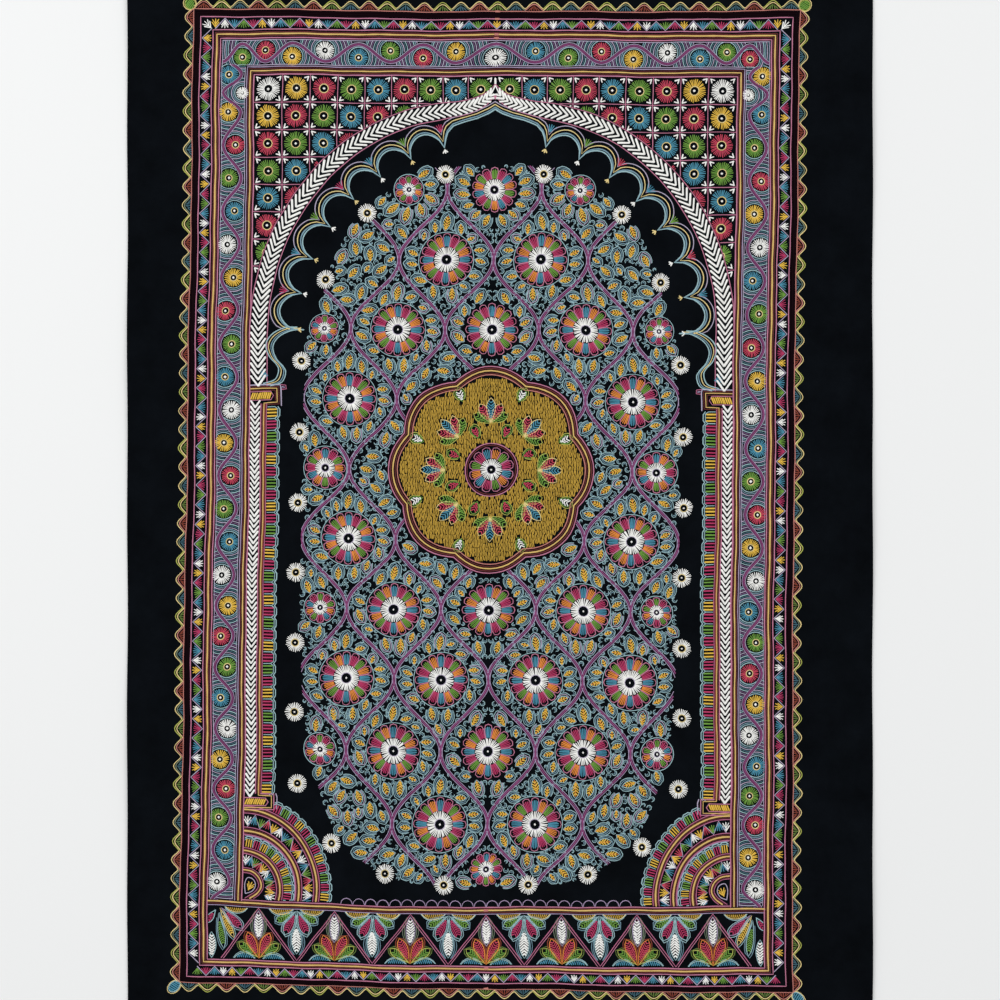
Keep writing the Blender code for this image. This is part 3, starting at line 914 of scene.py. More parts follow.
def petal(colour, edge, length, breadth, peak, rib=None, width=1.1, second=None, pitch=2.2, steps=9):
    """A petal from (0, 0) to (0, length): an outline, and a herringbone of threads inside it."""
    t = np.linspace(0, 1, steps)
    half = petal_half(t, breadth, peak)
    right = np.stack([half, t * length], 1)
    out = thread(edge, np.vstack([right, (right * (-1, 1))[::-1][1:-1]]), 0.9, closed=True, shake=0.05)
    if second:
        grown = np.stack([half + 1.45, t * (length + 1.5)], 1)[1:]
        out += thread(second, np.vstack([grown, (grown * (-1, 1))[::-1][1:]]), 0.85, shake=0.05)
    for at in np.arange(1.2 / length + 0.1, 0.90, pitch / length):
        reach = float(petal_half(at, breadth, peak)) - 0.9
        if reach < 0.5:
            continue
        for side in (-1, 1):
            low, high = (side * 0.15, at * length - reach * 0.55), (side * reach, at * length + reach * 0.35)
            out += thread(colour, [low, high], width, shake=0.08)
    if rib:
        out += thread(rib, [(0, 0.06 * length), (0, 0.9 * length)], 0.8)
    return out


def half_moon(colour, edge, second, length, height):
    """A leaf that lies along x from (0, 0) to (length, 0), bulging upwards."""
    t = np.linspace(0, 1, 9)
    bulge = np.stack([t * length, height * np.sin(np.pi * t) ** 0.7], 1)
    out = thread(edge, bulge, 0.9) + thread(second, bulge * (1.08, 1.28) - (length * 0.04, 0), 0.8)
    for x in np.arange(2.2, length - 1.2, 1.9):
        top = height * math.sin(math.pi * x / length) ** 0.7 - 1.0
        if top > 1.0:
            out += thread(colour, [(x + 0.6, 0.5), (x - 0.6, top)], 1.15, shake=0.08)
    return out


def bows(colour, low, high, half):
    """Two thin lines down each side of a spindle."""
    out = []
    for side in (-1, 1):
        t = np.linspace(0, 1, 7)
        for grow, width in ((0.0, 0.8), (1.8, 0.7)):
            x = side * (half + grow) * np.sin(np.pi * (0.06 + 0.88 * t)) ** 0.6
            out += thread(colour, np.stack([x, low + (high - low) * t], 1), width)
    return out


LOTUS_PITCH = 71.6
LOTUS_TOP = BASE_LINE - 4.6
LOTUS_BOTTOM = -HALF_L + 24.4


def upright_plant(height):
    """The plant of an upright triangle, its root at (0, 0)."""
    half = moved(half_moon("blue", "pale_blue", "pale_blue", 19.0, 4.9), 4.5, 0.4)
    half += moved(petal("green", "lime", 23.0, 8.0, 0.70, second="olive"), 0.6, 1.2, turn=-52)
    half += moved(petal("crimson", "orange", 27.0, 9.0, 0.64, second="rust"), 0.3, 0.8, turn=-22)
    white = petal("white", "grey_lilac", 28.5, 8.6, peak=0.5, width=1.5, pitch=2.5)
    out = both_sides(half) + moved(white, 0, height - 31.0)
    return out + bows("olive_grey", height - 29, height - 3, 6.0)


def hanging_plant():
    """The plant of a hanging triangle, its root at (0, 0) and its tip below."""
    moon = moved(half_moon("gold", "straw", "pale_blue", 21.0, 5.2), 4.0, -0.4)
    half = changed(moon, lambda points: points * (1, -1))
    half += moved(petal("green", "pale_blue", 21.5, 8.2, 0.70, second="grey_blue"), 0.6, -1.4, turn=-119)
    half += moved(petal("magenta", "pale_blue", 26.0, 9.2, 0.64, second="pale_blue"), 0.4, -1.0, turn=-156)
    white = petal("white", "pale_blue", 27.5, 9.6, peak=0.5, width=1.5, pitch=2.5)
    return both_sides(half) + moved(white, 0, -16.0, turn=180) + bows("grey_blue", -44, -19, 6.2)


def corner_plant():
    """The half plant in the band's left end, its root at (0, 0)."""
    out = moved(petal("white", "pale_blue", 25.0, 8.0, 0.5, width=1.4, pitch=2.5), -7.4, -50.0)
    out += moved(petal("green", "pale_blue", 34.0, 6.7, 0.62, second="grey_blue"), -0.6, -7.0, turn=-172.5)
    out += moved(petal("yellow", "straw", 31.6, 5.4, 0.62, second="pale_blue"), 0.6, -2.0, turn=-155)
    out += moved(petal("magenta", "lilac", 27.8, 8.2, 0.68, second="pale_blue"), 1.6, -1.5, turn=-134)
    out += moved(petal("magenta", "pale_blue", 15.0, 6.0, 0.6), -3.6, -4.0, turn=146)
    moon = half_moon("gold", "straw", "pale_blue", 20.0, 4.4)
    return out + changed(moon, lambda points: points * (1, -1) + (6.0, -0.6))


def lotus_band():
    height = LOTUS_TOP - LOTUS_BOTTOM
    places = range(-7, 8)
    corners = [(k * LOTUS_PITCH / 2, LOTUS_BOTTOM if k % 2 else LOTUS_TOP) for k in places]
    out = thread("rose", corners, 1.1) + thread("pink", np.array(corners) + (0, -3.4), 0.8)
    for k in range(-3, 4):
        out += moved(upright_plant(height), k * LOTUS_PITCH, LOTUS_BOTTOM)
    for k in range(-3, 3):
        out += moved(hanging_plant(), (k + 0.5) * LOTUS_PITCH, LOTUS_TOP)
    out += both_sides(moved(corner_plant(), -252.0, LOTUS_TOP))
    inside = lambda x, y: (np.abs(x) < HALF_W - 27.2) & (y > LOTUS_BOTTOM - 0.6) & (y < LOTUS_TOP + 1.5)
    return kept(out, inside)


lotus = lotus_band()
drawing += lotus
print("lotus threads", len(lotus))

# %% [markdown]
# The middle of the niche is a rounded thicket: a trellis of pointed ovals with a wheel flower in every oval
# and a wreath of leaves round each flower. Smaller leaves and curls fill what the wreaths leave open.

# %% Leaves and flowers
CELL = (90.0, 133.0)
MEDALLION_Y = 26.6
FLOWER_COLOURS = ("magenta", "green", "orange", "blue")
# A flower petal's outline: share of its half width, share of the flower's radius.
PETAL_EDGE = (
    (-0.93, 0.50), (-0.95, 0.82), (-0.6, 0.98), (0.0, 1.02), (0.6, 0.98), (0.95, 0.82), (0.93, 0.50),
)
DAISY_R = 8.6


def leaf(length, breadth):
    """A yellow leaf under three pale lines, its root at (0, 0)."""
    second = "grey_blue" if hand.uniform() < 0.7 else "grey_lilac"
    steps = 8 if length > 12 else 6
    ways = {"rib": "orange", "width": 1.15, "second": second, "pitch": 2.4, "steps": steps}
    out = petal("yellow", "pale_blue", length, breadth, 0.5, **ways)
    t = np.linspace(0.12, 1, steps - 1)
    half = petal_half(t, breadth, 0.5) + 2.7
    half[-1] = 0.8
    outer = np.stack([half, t * (length + 2.7)], 1)
    return out + thread("pale_blue", np.vstack([outer, (outer * (-1, 1))[::-1]]), 0.8, shake=0.05)


def flower(radius, petals):
    """A wheel of round-ended petals with a white fringe in its middle."""
    out = []
    inner = radius * 0.47
    half = 180 / petals
    strokes = (-0.58, -0.2, 0.2, 0.58) if radius > 18 else (-0.45, 0.0, 0.45)
    for k in range(petals):
        middle = 360 / petals * (k + 0.5)
        for share in strokes:
            turn = math.radians(middle + share * half)
            reach = radius * (0.92 - 0.09 * abs(share))
            way = np.array([math.cos(turn), math.sin(turn)])
            out += thread(FLOWER_COLOURS[k % 4], [way * inner * 1.12, way * reach], 1.1, shake=0.06)
        edge = []
        for share, reach in PETAL_EDGE:
            turn = math.radians(middle + share * half)
            edge.append((radius * reach * math.cos(turn), radius * reach * math.sin(turn)))
        out += thread("pink", edge, 0.85, shake=0.04)
    out += spokes("white", inner * 0.46, inner * 1.02, int(inner * 3.5), 1.05)
    return out + ring("grey_lilac", inner * 0.44, 0.8) + dot("white", 1.8)


def daisy():
    fringe = spokes("white", DAISY_R * 0.48, DAISY_R, 28, 1.0)
    return fringe + ring("straw", DAISY_R * 0.42, 0.9) + dot("white", 1.6)


def curl(size):
    """A small comma that fills a gap."""
    outer = thread("pale_blue", arc(size / 2, 200, -60, 5), 0.8, shake=0.04)
    return outer + thread("grey_blue", arc(size / 5, 160, -20, 3), 0.8)


# %% [markdown]
# The thicket is planned on a grid of one-millimetre squares that remembers which ground is taken. Flowers,
# daisies and trellis lines take their ground first. Then every leaf is tried, and stays only where all of its
# ground is still free. Only the right half is planned, and the left mirrors it.

# %% The thicket
# Half the thicket's width, the height of its middle, and half its height.
THICKET = (181.0, -24.0, 340.0)
ROUND_OFF = 3.6
LOBE_DIP = 8.0
LEAF_SIZES = ((16.0, 7.6), (13.5, 6.8), (11.0, 6.0), (8.5, 5.0))
LEAF_OVER_EDGE = 1.5
GRID_LOW = np.array([-4, -392])
GRID_SIZE = (210, 740)
ground_taken = np.zeros(GRID_SIZE, bool)
# The flowers at the edge: distance from the axis, half cells above the medallion, radius, petals.
EDGE_FLOWERS = (
    (158.0, 0, 19.0, 12), (160.0, 2, 12.5, 10), (160.0, -2, 14.0, 10), (160.0, -4, 14.0, 10),
    (82.0, 4.0, 13.0, 10), (0.0, -5.62, 15.0, 12),
)
DAISIES = (
    (47, 307), (122, 270), (160, 206), (181, 128), (183, 60), (184, -7), (184, -73), (184, -140), (184, -206),
    (181, -272), (147, -326), (96, -352), (40, -362),
)


def in_thicket(x, y, clear=0.0):
    """Whether places lie in the thicket, and clear of its edge: rounded off, under the arch, off the fans."""
    width, middle, height = THICKET
    across = (np.abs(x) / (width - clear)) ** ROUND_OFF
    rounded = across + (np.abs(y - middle) / (height - clear)) ** ROUND_OFF < 1
    roof = np.interp(off_crown(x, y), (0, 5, 12, 90), (182, 176, 168, 166))
    under_arch = (y < SPRING) | (np.hypot(x, y - SPRING) < roof - clear)
    off_fans = np.hypot(np.abs(x) + FAN_MIDDLE[0], y - FAN_MIDDLE[1]) > 90 + clear
    return rounded & under_arch & off_fans


def foil_reach(radius, turn):
    """How far the medallion's eight-lobed outline reaches at a turn given in radians."""
    return radius - LOBE_DIP * (1 - np.abs(np.cos(4 * turn)))


def off_medallion(x, y, clear=0.0):
    return np.hypot(x, y - MEDALLION_Y) > foil_reach(99.4, np.arctan2(y - MEDALLION_Y, x)) + clear


def squares(points):
    """The grid's squares that points lie in."""
    return tuple(np.clip(np.round(points - GRID_LOW).astype(int), 0, np.array(GRID_SIZE) - 1).T)


def taken(points):
    return ground_taken[squares(np.array(points))].any()


def take_disc(x, y, radius):
    i, j = np.ogrid[:GRID_SIZE[0], :GRID_SIZE[1]]
    ground_taken[np.hypot(i + GRID_LOW[0] - x, j + GRID_LOW[1] - y) < radius] = True


def trellis():
    """The lines between the cells, each drawn once: a purple line with a lilac one at each side."""
    out = []
    t = np.linspace(-1, 1, 45)
    open_ground = lambda x, y: in_thicket(x, y, 1.0) & off_medallion(x, y) & clear_of_flowers(x, y)
    for row in (-6, -4, -2, 0, 2, 4):
        for column in range(0, 3):
            for side in (-1, 1):
                if column == 0 and side < 0:
                    continue
                x = column * CELL[0] + side * CELL[0] / 4 * (1 + np.cos(np.pi * t))
                line = np.stack([x, MEDALLION_Y + row * CELL[1] / 2 + t * CELL[1] / 2], 1)
                for shift, colour, width in ((-1.5, "lilac", 0.8), (0.0, "purple", 1.5), (1.5, "lilac", 0.8)):
                    out += kept(thread(colour, beside(line, shift), width, shake=0.05), open_ground)
                for wide in (-2, -1, 0, 1, 2):
                    ground_taken[squares(beside(line, wide))] = True
    return out


def flower_places():
    """The flowers of the right half and of the axis, as (x, y, radius, petals)."""
    places = []
    for row in (4, 3, 2, 1, -1, -2, -3, -4, -5):
        for column in (0, 1) if row % 2 == 0 else (0.5, 1.5):
            x, y = column * CELL[0], MEDALLION_Y + row * CELL[1] / 2
            radius = 21.0 if row in (4, 3) and column in (0, 1.5) else 24.6
            if in_thicket(x, y, radius * 0.9) and off_medallion(x, y, radius - 3):
                places.append((x, y, radius, 16 if radius > 22 else 14))
    for x, row, radius, petals in EDGE_FLOWERS:
        places.append((x, MEDALLION_Y + row * CELL[1] / 2, radius, petals))
    return places


places = flower_places()


def clear_of_flowers(x, y):
    ok = np.ones(np.shape(x), bool)
    for fx, fy, radius, _ in places:
        ok &= np.hypot(x - fx, y - fy) > radius + 1.4
    for dx, dy in DAISIES:
        ok &= np.hypot(x - dx, y - dy) > 9.0
    return ok


leaf_t, leaf_s = (a.ravel() for a in np.meshgrid(np.linspace(0.04, 0.98, 12), np.linspace(-1, 1, 7)))


def leaf_ground(size, x, y, turn):
    """Sample places on a leaf's ground."""
    length, breadth = size
    half = petal_half(leaf_t, breadth, 0.5) + 2.1
    return turned(np.stack([leaf_s * half, leaf_t * (length + 2.2)], 1), turn) + (x, y)


def try_leaf(out, size, x, y, turn):
    """Adds a leaf to the list if all of its ground is free, and says whether it did."""
    ground = leaf_ground(size, x, y, turn)
    if ground[:, 0].min() < 0.6 or taken(ground):
        return False
    if not (in_thicket(*ground.T, -LEAF_OVER_EDGE) & off_medallion(*ground.T)).all():
        return False
    ground_taken[squares(ground)] = True
    out += moved(leaf(*size), x, y, turn=turn)
    return True


def thicket():
    right, middle = [], []
    for x, y, radius, petals in places:
        take_disc(x, y, radius + 0.9)
        (right if x > 1 else middle).extend(moved(flower(radius, petals), x, y, turn=90 + 180 / petals))
    for x, y in DAISIES:
        if not taken([(x, y)]):
            take_disc(x, y, DAISY_R + 0.6)
            right += moved(daisy(), x, y)
    right += trellis()
    leaves = 0
    for x, y, radius, _ in places:
        right += [t for t in moved(ring("pale_blue", radius + 1.6, 0.8), x, y) if x > 1]
        count = int(radius * 0.78)
        for k in range(count):
            way = 360 / count * (k + 0.5)
            for size in LEAF_SIZES[:3]:
                foot = arc(radius + 2.6, way, way, 0, x, y)[0]
                if try_leaf(right, size, *foot, way - 90 + 16):
                    leaves += 1
                    break
    spots = [(x, y) for x in np.arange(3.0, 190, 2.6) for y in np.arange(-372, 330, 2.6)]
    flowers_at = np.array([p[:2] for p in places])
    for size in LEAF_SIZES[1:]:
        for index in hand.permutation(len(spots)):
            x, y = spots[index]
            if taken([(x, y)]):
                continue
            to = np.array([x, y]) - flowers_at[np.argmin(np.hypot(*(flowers_at - (x, y)).T))]
            way = math.degrees(math.atan2(to[1], to[0])) - 90
            for lean in (20, 65, -35):
                if try_leaf(right, size, x, y, way + lean):
                    leaves += 1
                    break
    curls = 0
    for reach in (2.3, 1.5):
        for index in hand.permutation(len(spots)):
            x, y = spots[index]
            ground = arc(reach, 0, 360, 8, x, y)
            inside = in_thicket(*ground.T) & off_medallion(*ground.T)
            if inside.all() and not taken(ground) and not taken([(x, y)]):
                take_disc(x, y, reach + 0.4)
                right += moved(curl(reach * 2), x, y, turn=hand.uniform(0, 360))
                curls += 1
    print("flowers", len(places), "leaves", leaves, "curls", curls)
    return both_sides(right) + middle


fields = thicket()
drawing += fields
print("thicket threads", len(fields))

# %% [markdown]
# The medallion is an eight-lobed gold ground with a rosette, eight palmettes and a ring of buds on it. The
# gold is many short threads laid side by side, and they stop where a motif begins, as the painter's do.

# %% Medallion
# Columns: radius, colour, width.
MEDALLION_LINES = (
    (98.0, "pink", 1.2),
    (96.0, "maroon", 1.4),
    (93.8, "ochre", 1.6),
    (91.6, "maroon", 1.1),
    (89.8, "salmon", 1.0),
)
# Columns: lean in degrees, colour.
PALMETTE = ((-60, "green"), (60, "green"), (-30, "crimson"), (30, "crimson"), (0, "blue"))
# The two rings of buds: radius, colour.
BUDS = ((38, "crimson"), (76, "white"))
# Discs that cover a petal's ground: share of its length, share of its breadth.
PETAL_DISCS = ((0.2, 0.36), (0.45, 0.56), (0.7, 0.58), (0.95, 0.25))
GOLD_ROW = 4.1
GOLD_PITCH = 1.55
GOLD_REACH = 87.4


def foil(radius, steps=96):
    """The medallion's outline as points."""
    turn = np.arange(steps) * 2 * np.pi / steps
    reach = foil_reach(radius, turn)
    return np.stack([reach * np.cos(turn), reach * np.sin(turn)], 1)


def palmette_petal(lean):
    """A palmette petal's length and breadth."""
    return 24 - abs(lean) * 0.09, 8.8


def palmette():
    out = []
    for lean, colour in PALMETTE:
        edge = "straw" if colour != "green" else "lime"
        out += moved(petal(colour, edge, *palmette_petal(lean), 0.62, pitch=2.4), turn=lean)
    return out


def petal_ground(x, y, turn, length, breadth):
    """Discs that cover a petal's ground, as (x, y, radius)."""
    up = turned(np.array([[0.0, length]]), turn)[0]
    return [(x + up[0] * t, y + up[1] * t, breadth * share) for t, share in PETAL_DISCS]


def medallion():
    out = []
    for radius, colour, width in MEDALLION_LINES:
        out += thread(colour, foil(radius), width, closed=True)
    motifs = flower(21.0, 12)
    out += ring("maroon", 23.2, 1.0) + ring("pink", 25.0, 1.0)
    blocked = [(0.0, 0.0, 26.6)]
    for k in range(8):
        turn = 45 * k
        way = np.array([math.sin(math.radians(turn)), math.cos(math.radians(turn))])
        motifs += moved(palmette(), *(way * 44), turn=-turn)
        for lean, _ in PALMETTE:
            blocked += petal_ground(*(way * 44), lean - turn, *palmette_petal(lean))
        between = math.radians(turn + 22.5)
        place = np.array([math.sin(between), math.cos(between)])
        for reach, colour in BUDS:
            small = petal(colour, "green", 13.0, 8.0, 0.6, second="lime", pitch=2.4)
            motifs += moved(small, *(place * (reach - 6)), turn=-turn - 22.5)
            blocked += petal_ground(*(place * (reach - 6)), -turn - 22.5, 13.5, 10.0)
    blocked = np.array(blocked)
    hatch = []
    for row in np.arange(-88, 90, GOLD_ROW):
        for place in np.arange(-88, 88, GOLD_PITCH):
            lean = hand.uniform(-0.5, 0.5)
            x, y = place + hand.uniform(-0.2, 0.2), row + hand.uniform(-0.7, 0.7)
            if math.hypot(x, y) > foil_reach(GOLD_REACH, math.atan2(y, x)):
                continue
            if (np.hypot(blocked[:, 0] - x, blocked[:, 1] - y) < blocked[:, 2]).any():
                continue
            hatch += thread("gold", [(x - lean, y - 1.9), (x + lean, y + 1.9)], 1.1, shake=0.05)
    print("gold strokes", len(hatch))
    return moved(out + motifs + hatch, 0, MEDALLION_Y)


medallions = medallion()
drawing += medallions
print("medallion threads", len(medallions), "of", len(drawing))

# %% [markdown]
# Rogan paint is castor oil boiled thick and ground with earth colours. It dries to a tough satin skin, a
# little uneven in shade, and the thread swells and thins as it runs off the stylus. The colours are set here
# as they look in daylight, and one shared effect gives all of them that uneven skin.

# %% Paint
PAINTS = {
    "white": (244, 244, 240), "straw": (226, 204, 140), "yellow": (226, 184, 68), "gold": (186, 150, 52),
    "ochre": (214, 178, 104), "orange": (226, 138, 58), "salmon": (192, 122, 112), "rust": (132, 58, 40),
    "maroon": (92, 28, 30), "dark_maroon": (16, 3, 8), "crimson": (192, 62, 86), "magenta": (178, 48, 94),
    "pink": (190, 118, 146), "rose": (178, 98, 132), "purple": (130, 58, 110), "plum": (108, 76, 118),
    "lilac": (168, 148, 180), "grey_lilac": (176, 166, 190), "olive_grey": (112, 126, 104),
    "olive": (96, 120, 50), "lime": (172, 178, 84), "green": (104, 150, 56), "teal": (58, 98, 112),
    "blue": (70, 140, 165), "grey_blue": (112, 146, 162), "pale_blue": (152, 186, 192),
}


def linear(srgb):
    """Screen values of 0 to 255 as the linear ones that a shader takes."""
    return [((v / 255 + 0.055) / 1.055) ** 2.4 if v > 10 else v / 255 / 12.92 for v in srgb]


def shader_group(name, inputs, outputs):
    tree = bpy.data.node_groups.new(name, "ShaderNodeTree")
    for label, kind, value in inputs:
        socket = tree.interface.new_socket(label, in_out="INPUT", socket_type=kind)
        socket.default_value = value
    for label, kind in outputs:
        tree.interface.new_socket(label, in_out="OUTPUT", socket_type=kind)
    return tree


def add(tree, kind, values=(), **props):
    """A new node with some of its inputs and properties set."""
    node = tree.nodes.new(kind)
    for name, value in props.items():
        setattr(node, name, value)
    for name, value in dict(values).items():
        node.inputs[name].default_value = value
    return node


def paint_effect():
    """Uneven colour, gloss and surface for dried oil paint."""
    tree = shader_group(
        "dried_oil_paint",
        (
            ("Color", "NodeSocketColor", (0.5, 0.5, 0.5, 1)),
            ("Shade", "NodeSocketFloat", 0.16),
            ("Gloss", "NodeSocketFloat", 0.42),
        ),
        (("Color", "NodeSocketColor"), ("Roughness", "NodeSocketFloat"), ("Normal", "NodeSocketVector")),
    )
    link = tree.links.new
    ins, outs = add(tree, "NodeGroupInput"), add(tree, "NodeGroupOutput")
    place = add(tree, "ShaderNodeTexCoord")
    broad = add(tree, "ShaderNodeTexNoise", {"Scale": 120.0, "Detail": 2.0, "Roughness": 0.6})
    fine = add(tree, "ShaderNodeTexNoise", {"Scale": 900.0, "Detail": 2.0, "Roughness": 0.5})
    for noise in (broad, fine):
        link(place.outputs["Object"], noise.inputs["Vector"])
    swing = add(tree, "ShaderNodeMath", {1: 0.5}, operation="SUBTRACT")
    link(broad.outputs["Fac"], swing.inputs[0])
    strength = add(tree, "ShaderNodeMath", operation="MULTIPLY")
    link(swing.outputs[0], strength.inputs[0])
    link(ins.outputs["Shade"], strength.inputs[1])
    value = add(tree, "ShaderNodeMath", {1: 2.0, 2: 1.0}, operation="MULTIPLY_ADD")
    link(strength.outputs[0], value.inputs[0])
    tint = add(tree, "ShaderNodeHueSaturation")
    link(value.outputs[0], tint.inputs["Value"])
    link(ins.outputs["Color"], tint.inputs["Color"])
    rough = add(tree, "ShaderNodeMath", {1: 0.25}, operation="MULTIPLY_ADD")
    link(fine.outputs["Fac"], rough.inputs[0])
    link(ins.outputs["Gloss"], rough.inputs[2])
    bump = add(tree, "ShaderNodeBump", {"Strength": 0.25, "Distance": 0.0002})
    link(fine.outputs["Fac"], bump.inputs["Height"])
    link(tint.outputs["Color"], outs.inputs["Color"])
    link(rough.outputs[0], outs.inputs["Roughness"])
    link(bump.outputs["Normal"], outs.inputs["Normal"])
    return tree


def principled(name, group, values, uniform):
    """A material whose effect group feeds its shader, and whose uniform values sit on the shader itself."""
    material = bpy.data.materials.new(name)
    material.use_nodes = True
    tree = material.node_tree
    shader = tree.nodes["Principled BSDF"]
    effect = tree.nodes.new("ShaderNodeGroup")
    effect.node_tree = group
    for label, value in values.items():
        effect.inputs[label].default_value = value
    for socket in effect.outputs:
        target = "Base Color" if socket.name == "Color" else socket.name
        tree.links.new(socket, shader.inputs[target])
    for label, value in uniform.items():
        shader.inputs[label].default_value = value
    return material


oil_paint = paint_effect()
paints = {
    name: principled(
        f"rogan_{name}",
        oil_paint,
        {"Color": (*linear(rgb), 1)},
        {"Metallic": 0.0, "Specular IOR Level": 0.03 if max(rgb) < 30 else 0.3},
    )
    for name, rgb in PAINTS.items()
}
print("paints", len(paints))

# %% [markdown]
# Each colour's threads become one piece. Their middle lines go in as edges with a half width at every point,
# and one node tree sweeps a half-round section along them: flat side down on the cloth, round side up.

# %% Sweeping the threads
ROUNDNESS = 0.85
SINK = 0.10
TIP_REACH = 0.8


def thread_tree():
    tree = bpy.data.node_groups.new("half_round_thread", "GeometryNodeTree")
    face = tree.interface
    face.new_socket("Paths", in_out="INPUT", socket_type="NodeSocketGeometry")
    face.new_socket("Paint", in_out="INPUT", socket_type="NodeSocketMaterial")
    rise = face.new_socket("Roundness", in_out="INPUT", socket_type="NodeSocketFloat")
    rise.default_value = ROUNDNESS
    face.new_socket("Threads", in_out="OUTPUT", socket_type="NodeSocketGeometry")
    link = tree.links.new
    ins, outs = add(tree, "NodeGroupInput"), add(tree, "NodeGroupOutput")
    curve = add(tree, "GeometryNodeMeshToCurve")
    half_width = add(tree, "GeometryNodeInputNamedAttribute", {"Name": "half_width"}, data_type="FLOAT")
    upright = add(tree, "GeometryNodeSetCurveNormal", mode="Z_UP")
    half_circle = {"Resolution": 4, "Radius": 1.0, "Start Angle": math.pi, "Sweep Angle": math.pi}
    section = add(tree, "GeometryNodeCurveArc", half_circle)
    flatten = add(tree, "ShaderNodeCombineXYZ", {"X": 1.0, "Z": 1.0})
    shape = add(tree, "GeometryNodeTransform")
    sweep = add(tree, "GeometryNodeCurveToMesh")
    smooth = add(tree, "GeometryNodeSetShadeSmooth")
    paint = add(tree, "GeometryNodeSetMaterial")
    link(ins.outputs["Paths"], curve.inputs["Mesh"])
    link(curve.outputs["Curve"], upright.inputs["Curve"])
    link(upright.outputs["Curve"], sweep.inputs["Curve"])
    link(ins.outputs["Roundness"], flatten.inputs["Y"])
    link(flatten.outputs["Vector"], shape.inputs["Scale"])
    link(section.outputs["Curve"], shape.inputs["Geometry"])
    link(shape.outputs["Geometry"], sweep.inputs["Profile Curve"])
    link(half_width.outputs["Attribute"], sweep.inputs["Scale"])
    link(sweep.outputs["Mesh"], smooth.inputs["Geometry"])
    link(smooth.outputs["Geometry"], paint.inputs["Geometry"])
    link(ins.outputs["Paint"], paint.inputs["Material"])
    link(paint.outputs["Geometry"], outs.inputs["Threads"])
    return tree


def set_input(modifier, name, value):
    """Sets a named input of a Geometry Nodes modifier."""
    for item in modifier.node_group.interface.items_tree:
        if item.in_out == "INPUT" and item.name == name:
            modifier[item.identifier] = value


def made_plain(obj):
    """Replaces the object's mesh by what its modifiers make of it, and takes them off."""
    shown = obj.evaluated_get(bpy.context.evaluated_depsgraph_get())
    mesh = bpy.data.meshes.new_from_object(shown)
    obj.modifiers.clear()
    obj.data = mesh
    mesh.name = obj.name
    return obj


def paths_mesh(name, threads):
    """The middle lines of the threads as loose edges, on the cloth, in metres."""
    places, widths, edges = [], [], []
    first = 0
    for _, path, width, closed in threads:
        flat = on_cloth(path)
        half = width / 2 * (1 + hand.uniform(-0.13, 0.13, len(flat)))
        if not closed:
            reach = TIP_REACH * width / 2
            start, end = flat[0] - flat[1], flat[-1] - flat[-2]
            start = flat[0] + start / max(np.hypot(*start), 1e-6) * reach
            end = flat[-1] + end / max(np.hypot(*end), 1e-6) * reach
            flat = np.vstack([start, flat, end])
            half = np.r_[half[0] * 0.30, half, half[-1] * 0.25]
        height = topside(flat[:, 0], flat[:, 1]) - SINK + hand.uniform(-0.03, 0.03)
        places.append(np.column_stack([flat, height]))
        widths.append(half)
        index = np.arange(first, first + len(flat))
        edges.append(np.stack([index[:-1], index[1:]], 1))
        if closed:
            edges.append(np.array([[index[-1], index[0]]]))
        first += len(flat)
    mesh = bpy.data.meshes.new(name)
    places, edges = np.vstack(places) * MM, np.vstack(edges)
    mesh.vertices.add(len(places))
    mesh.vertices.foreach_set("co", places.ravel())
    mesh.edges.add(len(edges))
    mesh.edges.foreach_set("vertices", edges.ravel())
    mesh.attributes.new("half_width", "FLOAT", "POINT").data.foreach_set("value", np.concatenate(widths) * MM)
    return mesh


def in_scene(name, mesh):
    obj = bpy.data.objects.new(name, mesh)
    bpy.context.scene.collection.objects.link(obj)
    return obj


sweeper = thread_tree()
thread_pieces = []
triangles = 0
for colour in PAINTS:
    threads = [t for t in drawing if t[0] == colour]
    if not threads:
        continue
    piece = in_scene(f"threads_{colour}", paths_mesh(f"threads_{colour}", threads))
    sweep = piece.modifiers.new("sweep", "NODES")
    sweep.node_group = sweeper
    set_input(sweep, "Paint", paints[colour])
    made_plain(piece)
    if "half_width" in piece.data.attributes:
        piece.data.attributes.remove(piece.data.attributes["half_width"])
    count = sum(len(p.vertices) - 2 for p in piece.data.polygons)
    triangles += count
    thread_pieces.append(piece)
    print(piece.name, len(threads), "threads", count, "triangles")
print("all threads", triangles, "triangles")

# %% [markdown]
# The cloth is one thin closed sheet of plain-woven cotton. Its side edges are woven, a little thicker than
# the rest, and its top and bottom edges are folded over once and stitched down.

# %% The cotton
SQUARE = 8.0
HEM = 12.0
HEM_RISE = 0.8
PULLED_IN = 14.0


def lines(half, extra):
    """Places for the sheet's grid lines: evenly spaced, and the extra ones."""
    steps = int(round(2 * half / SQUARE))
    return np.unique(np.round(np.r_[np.linspace(-half, half, steps + 1), extra], 3))


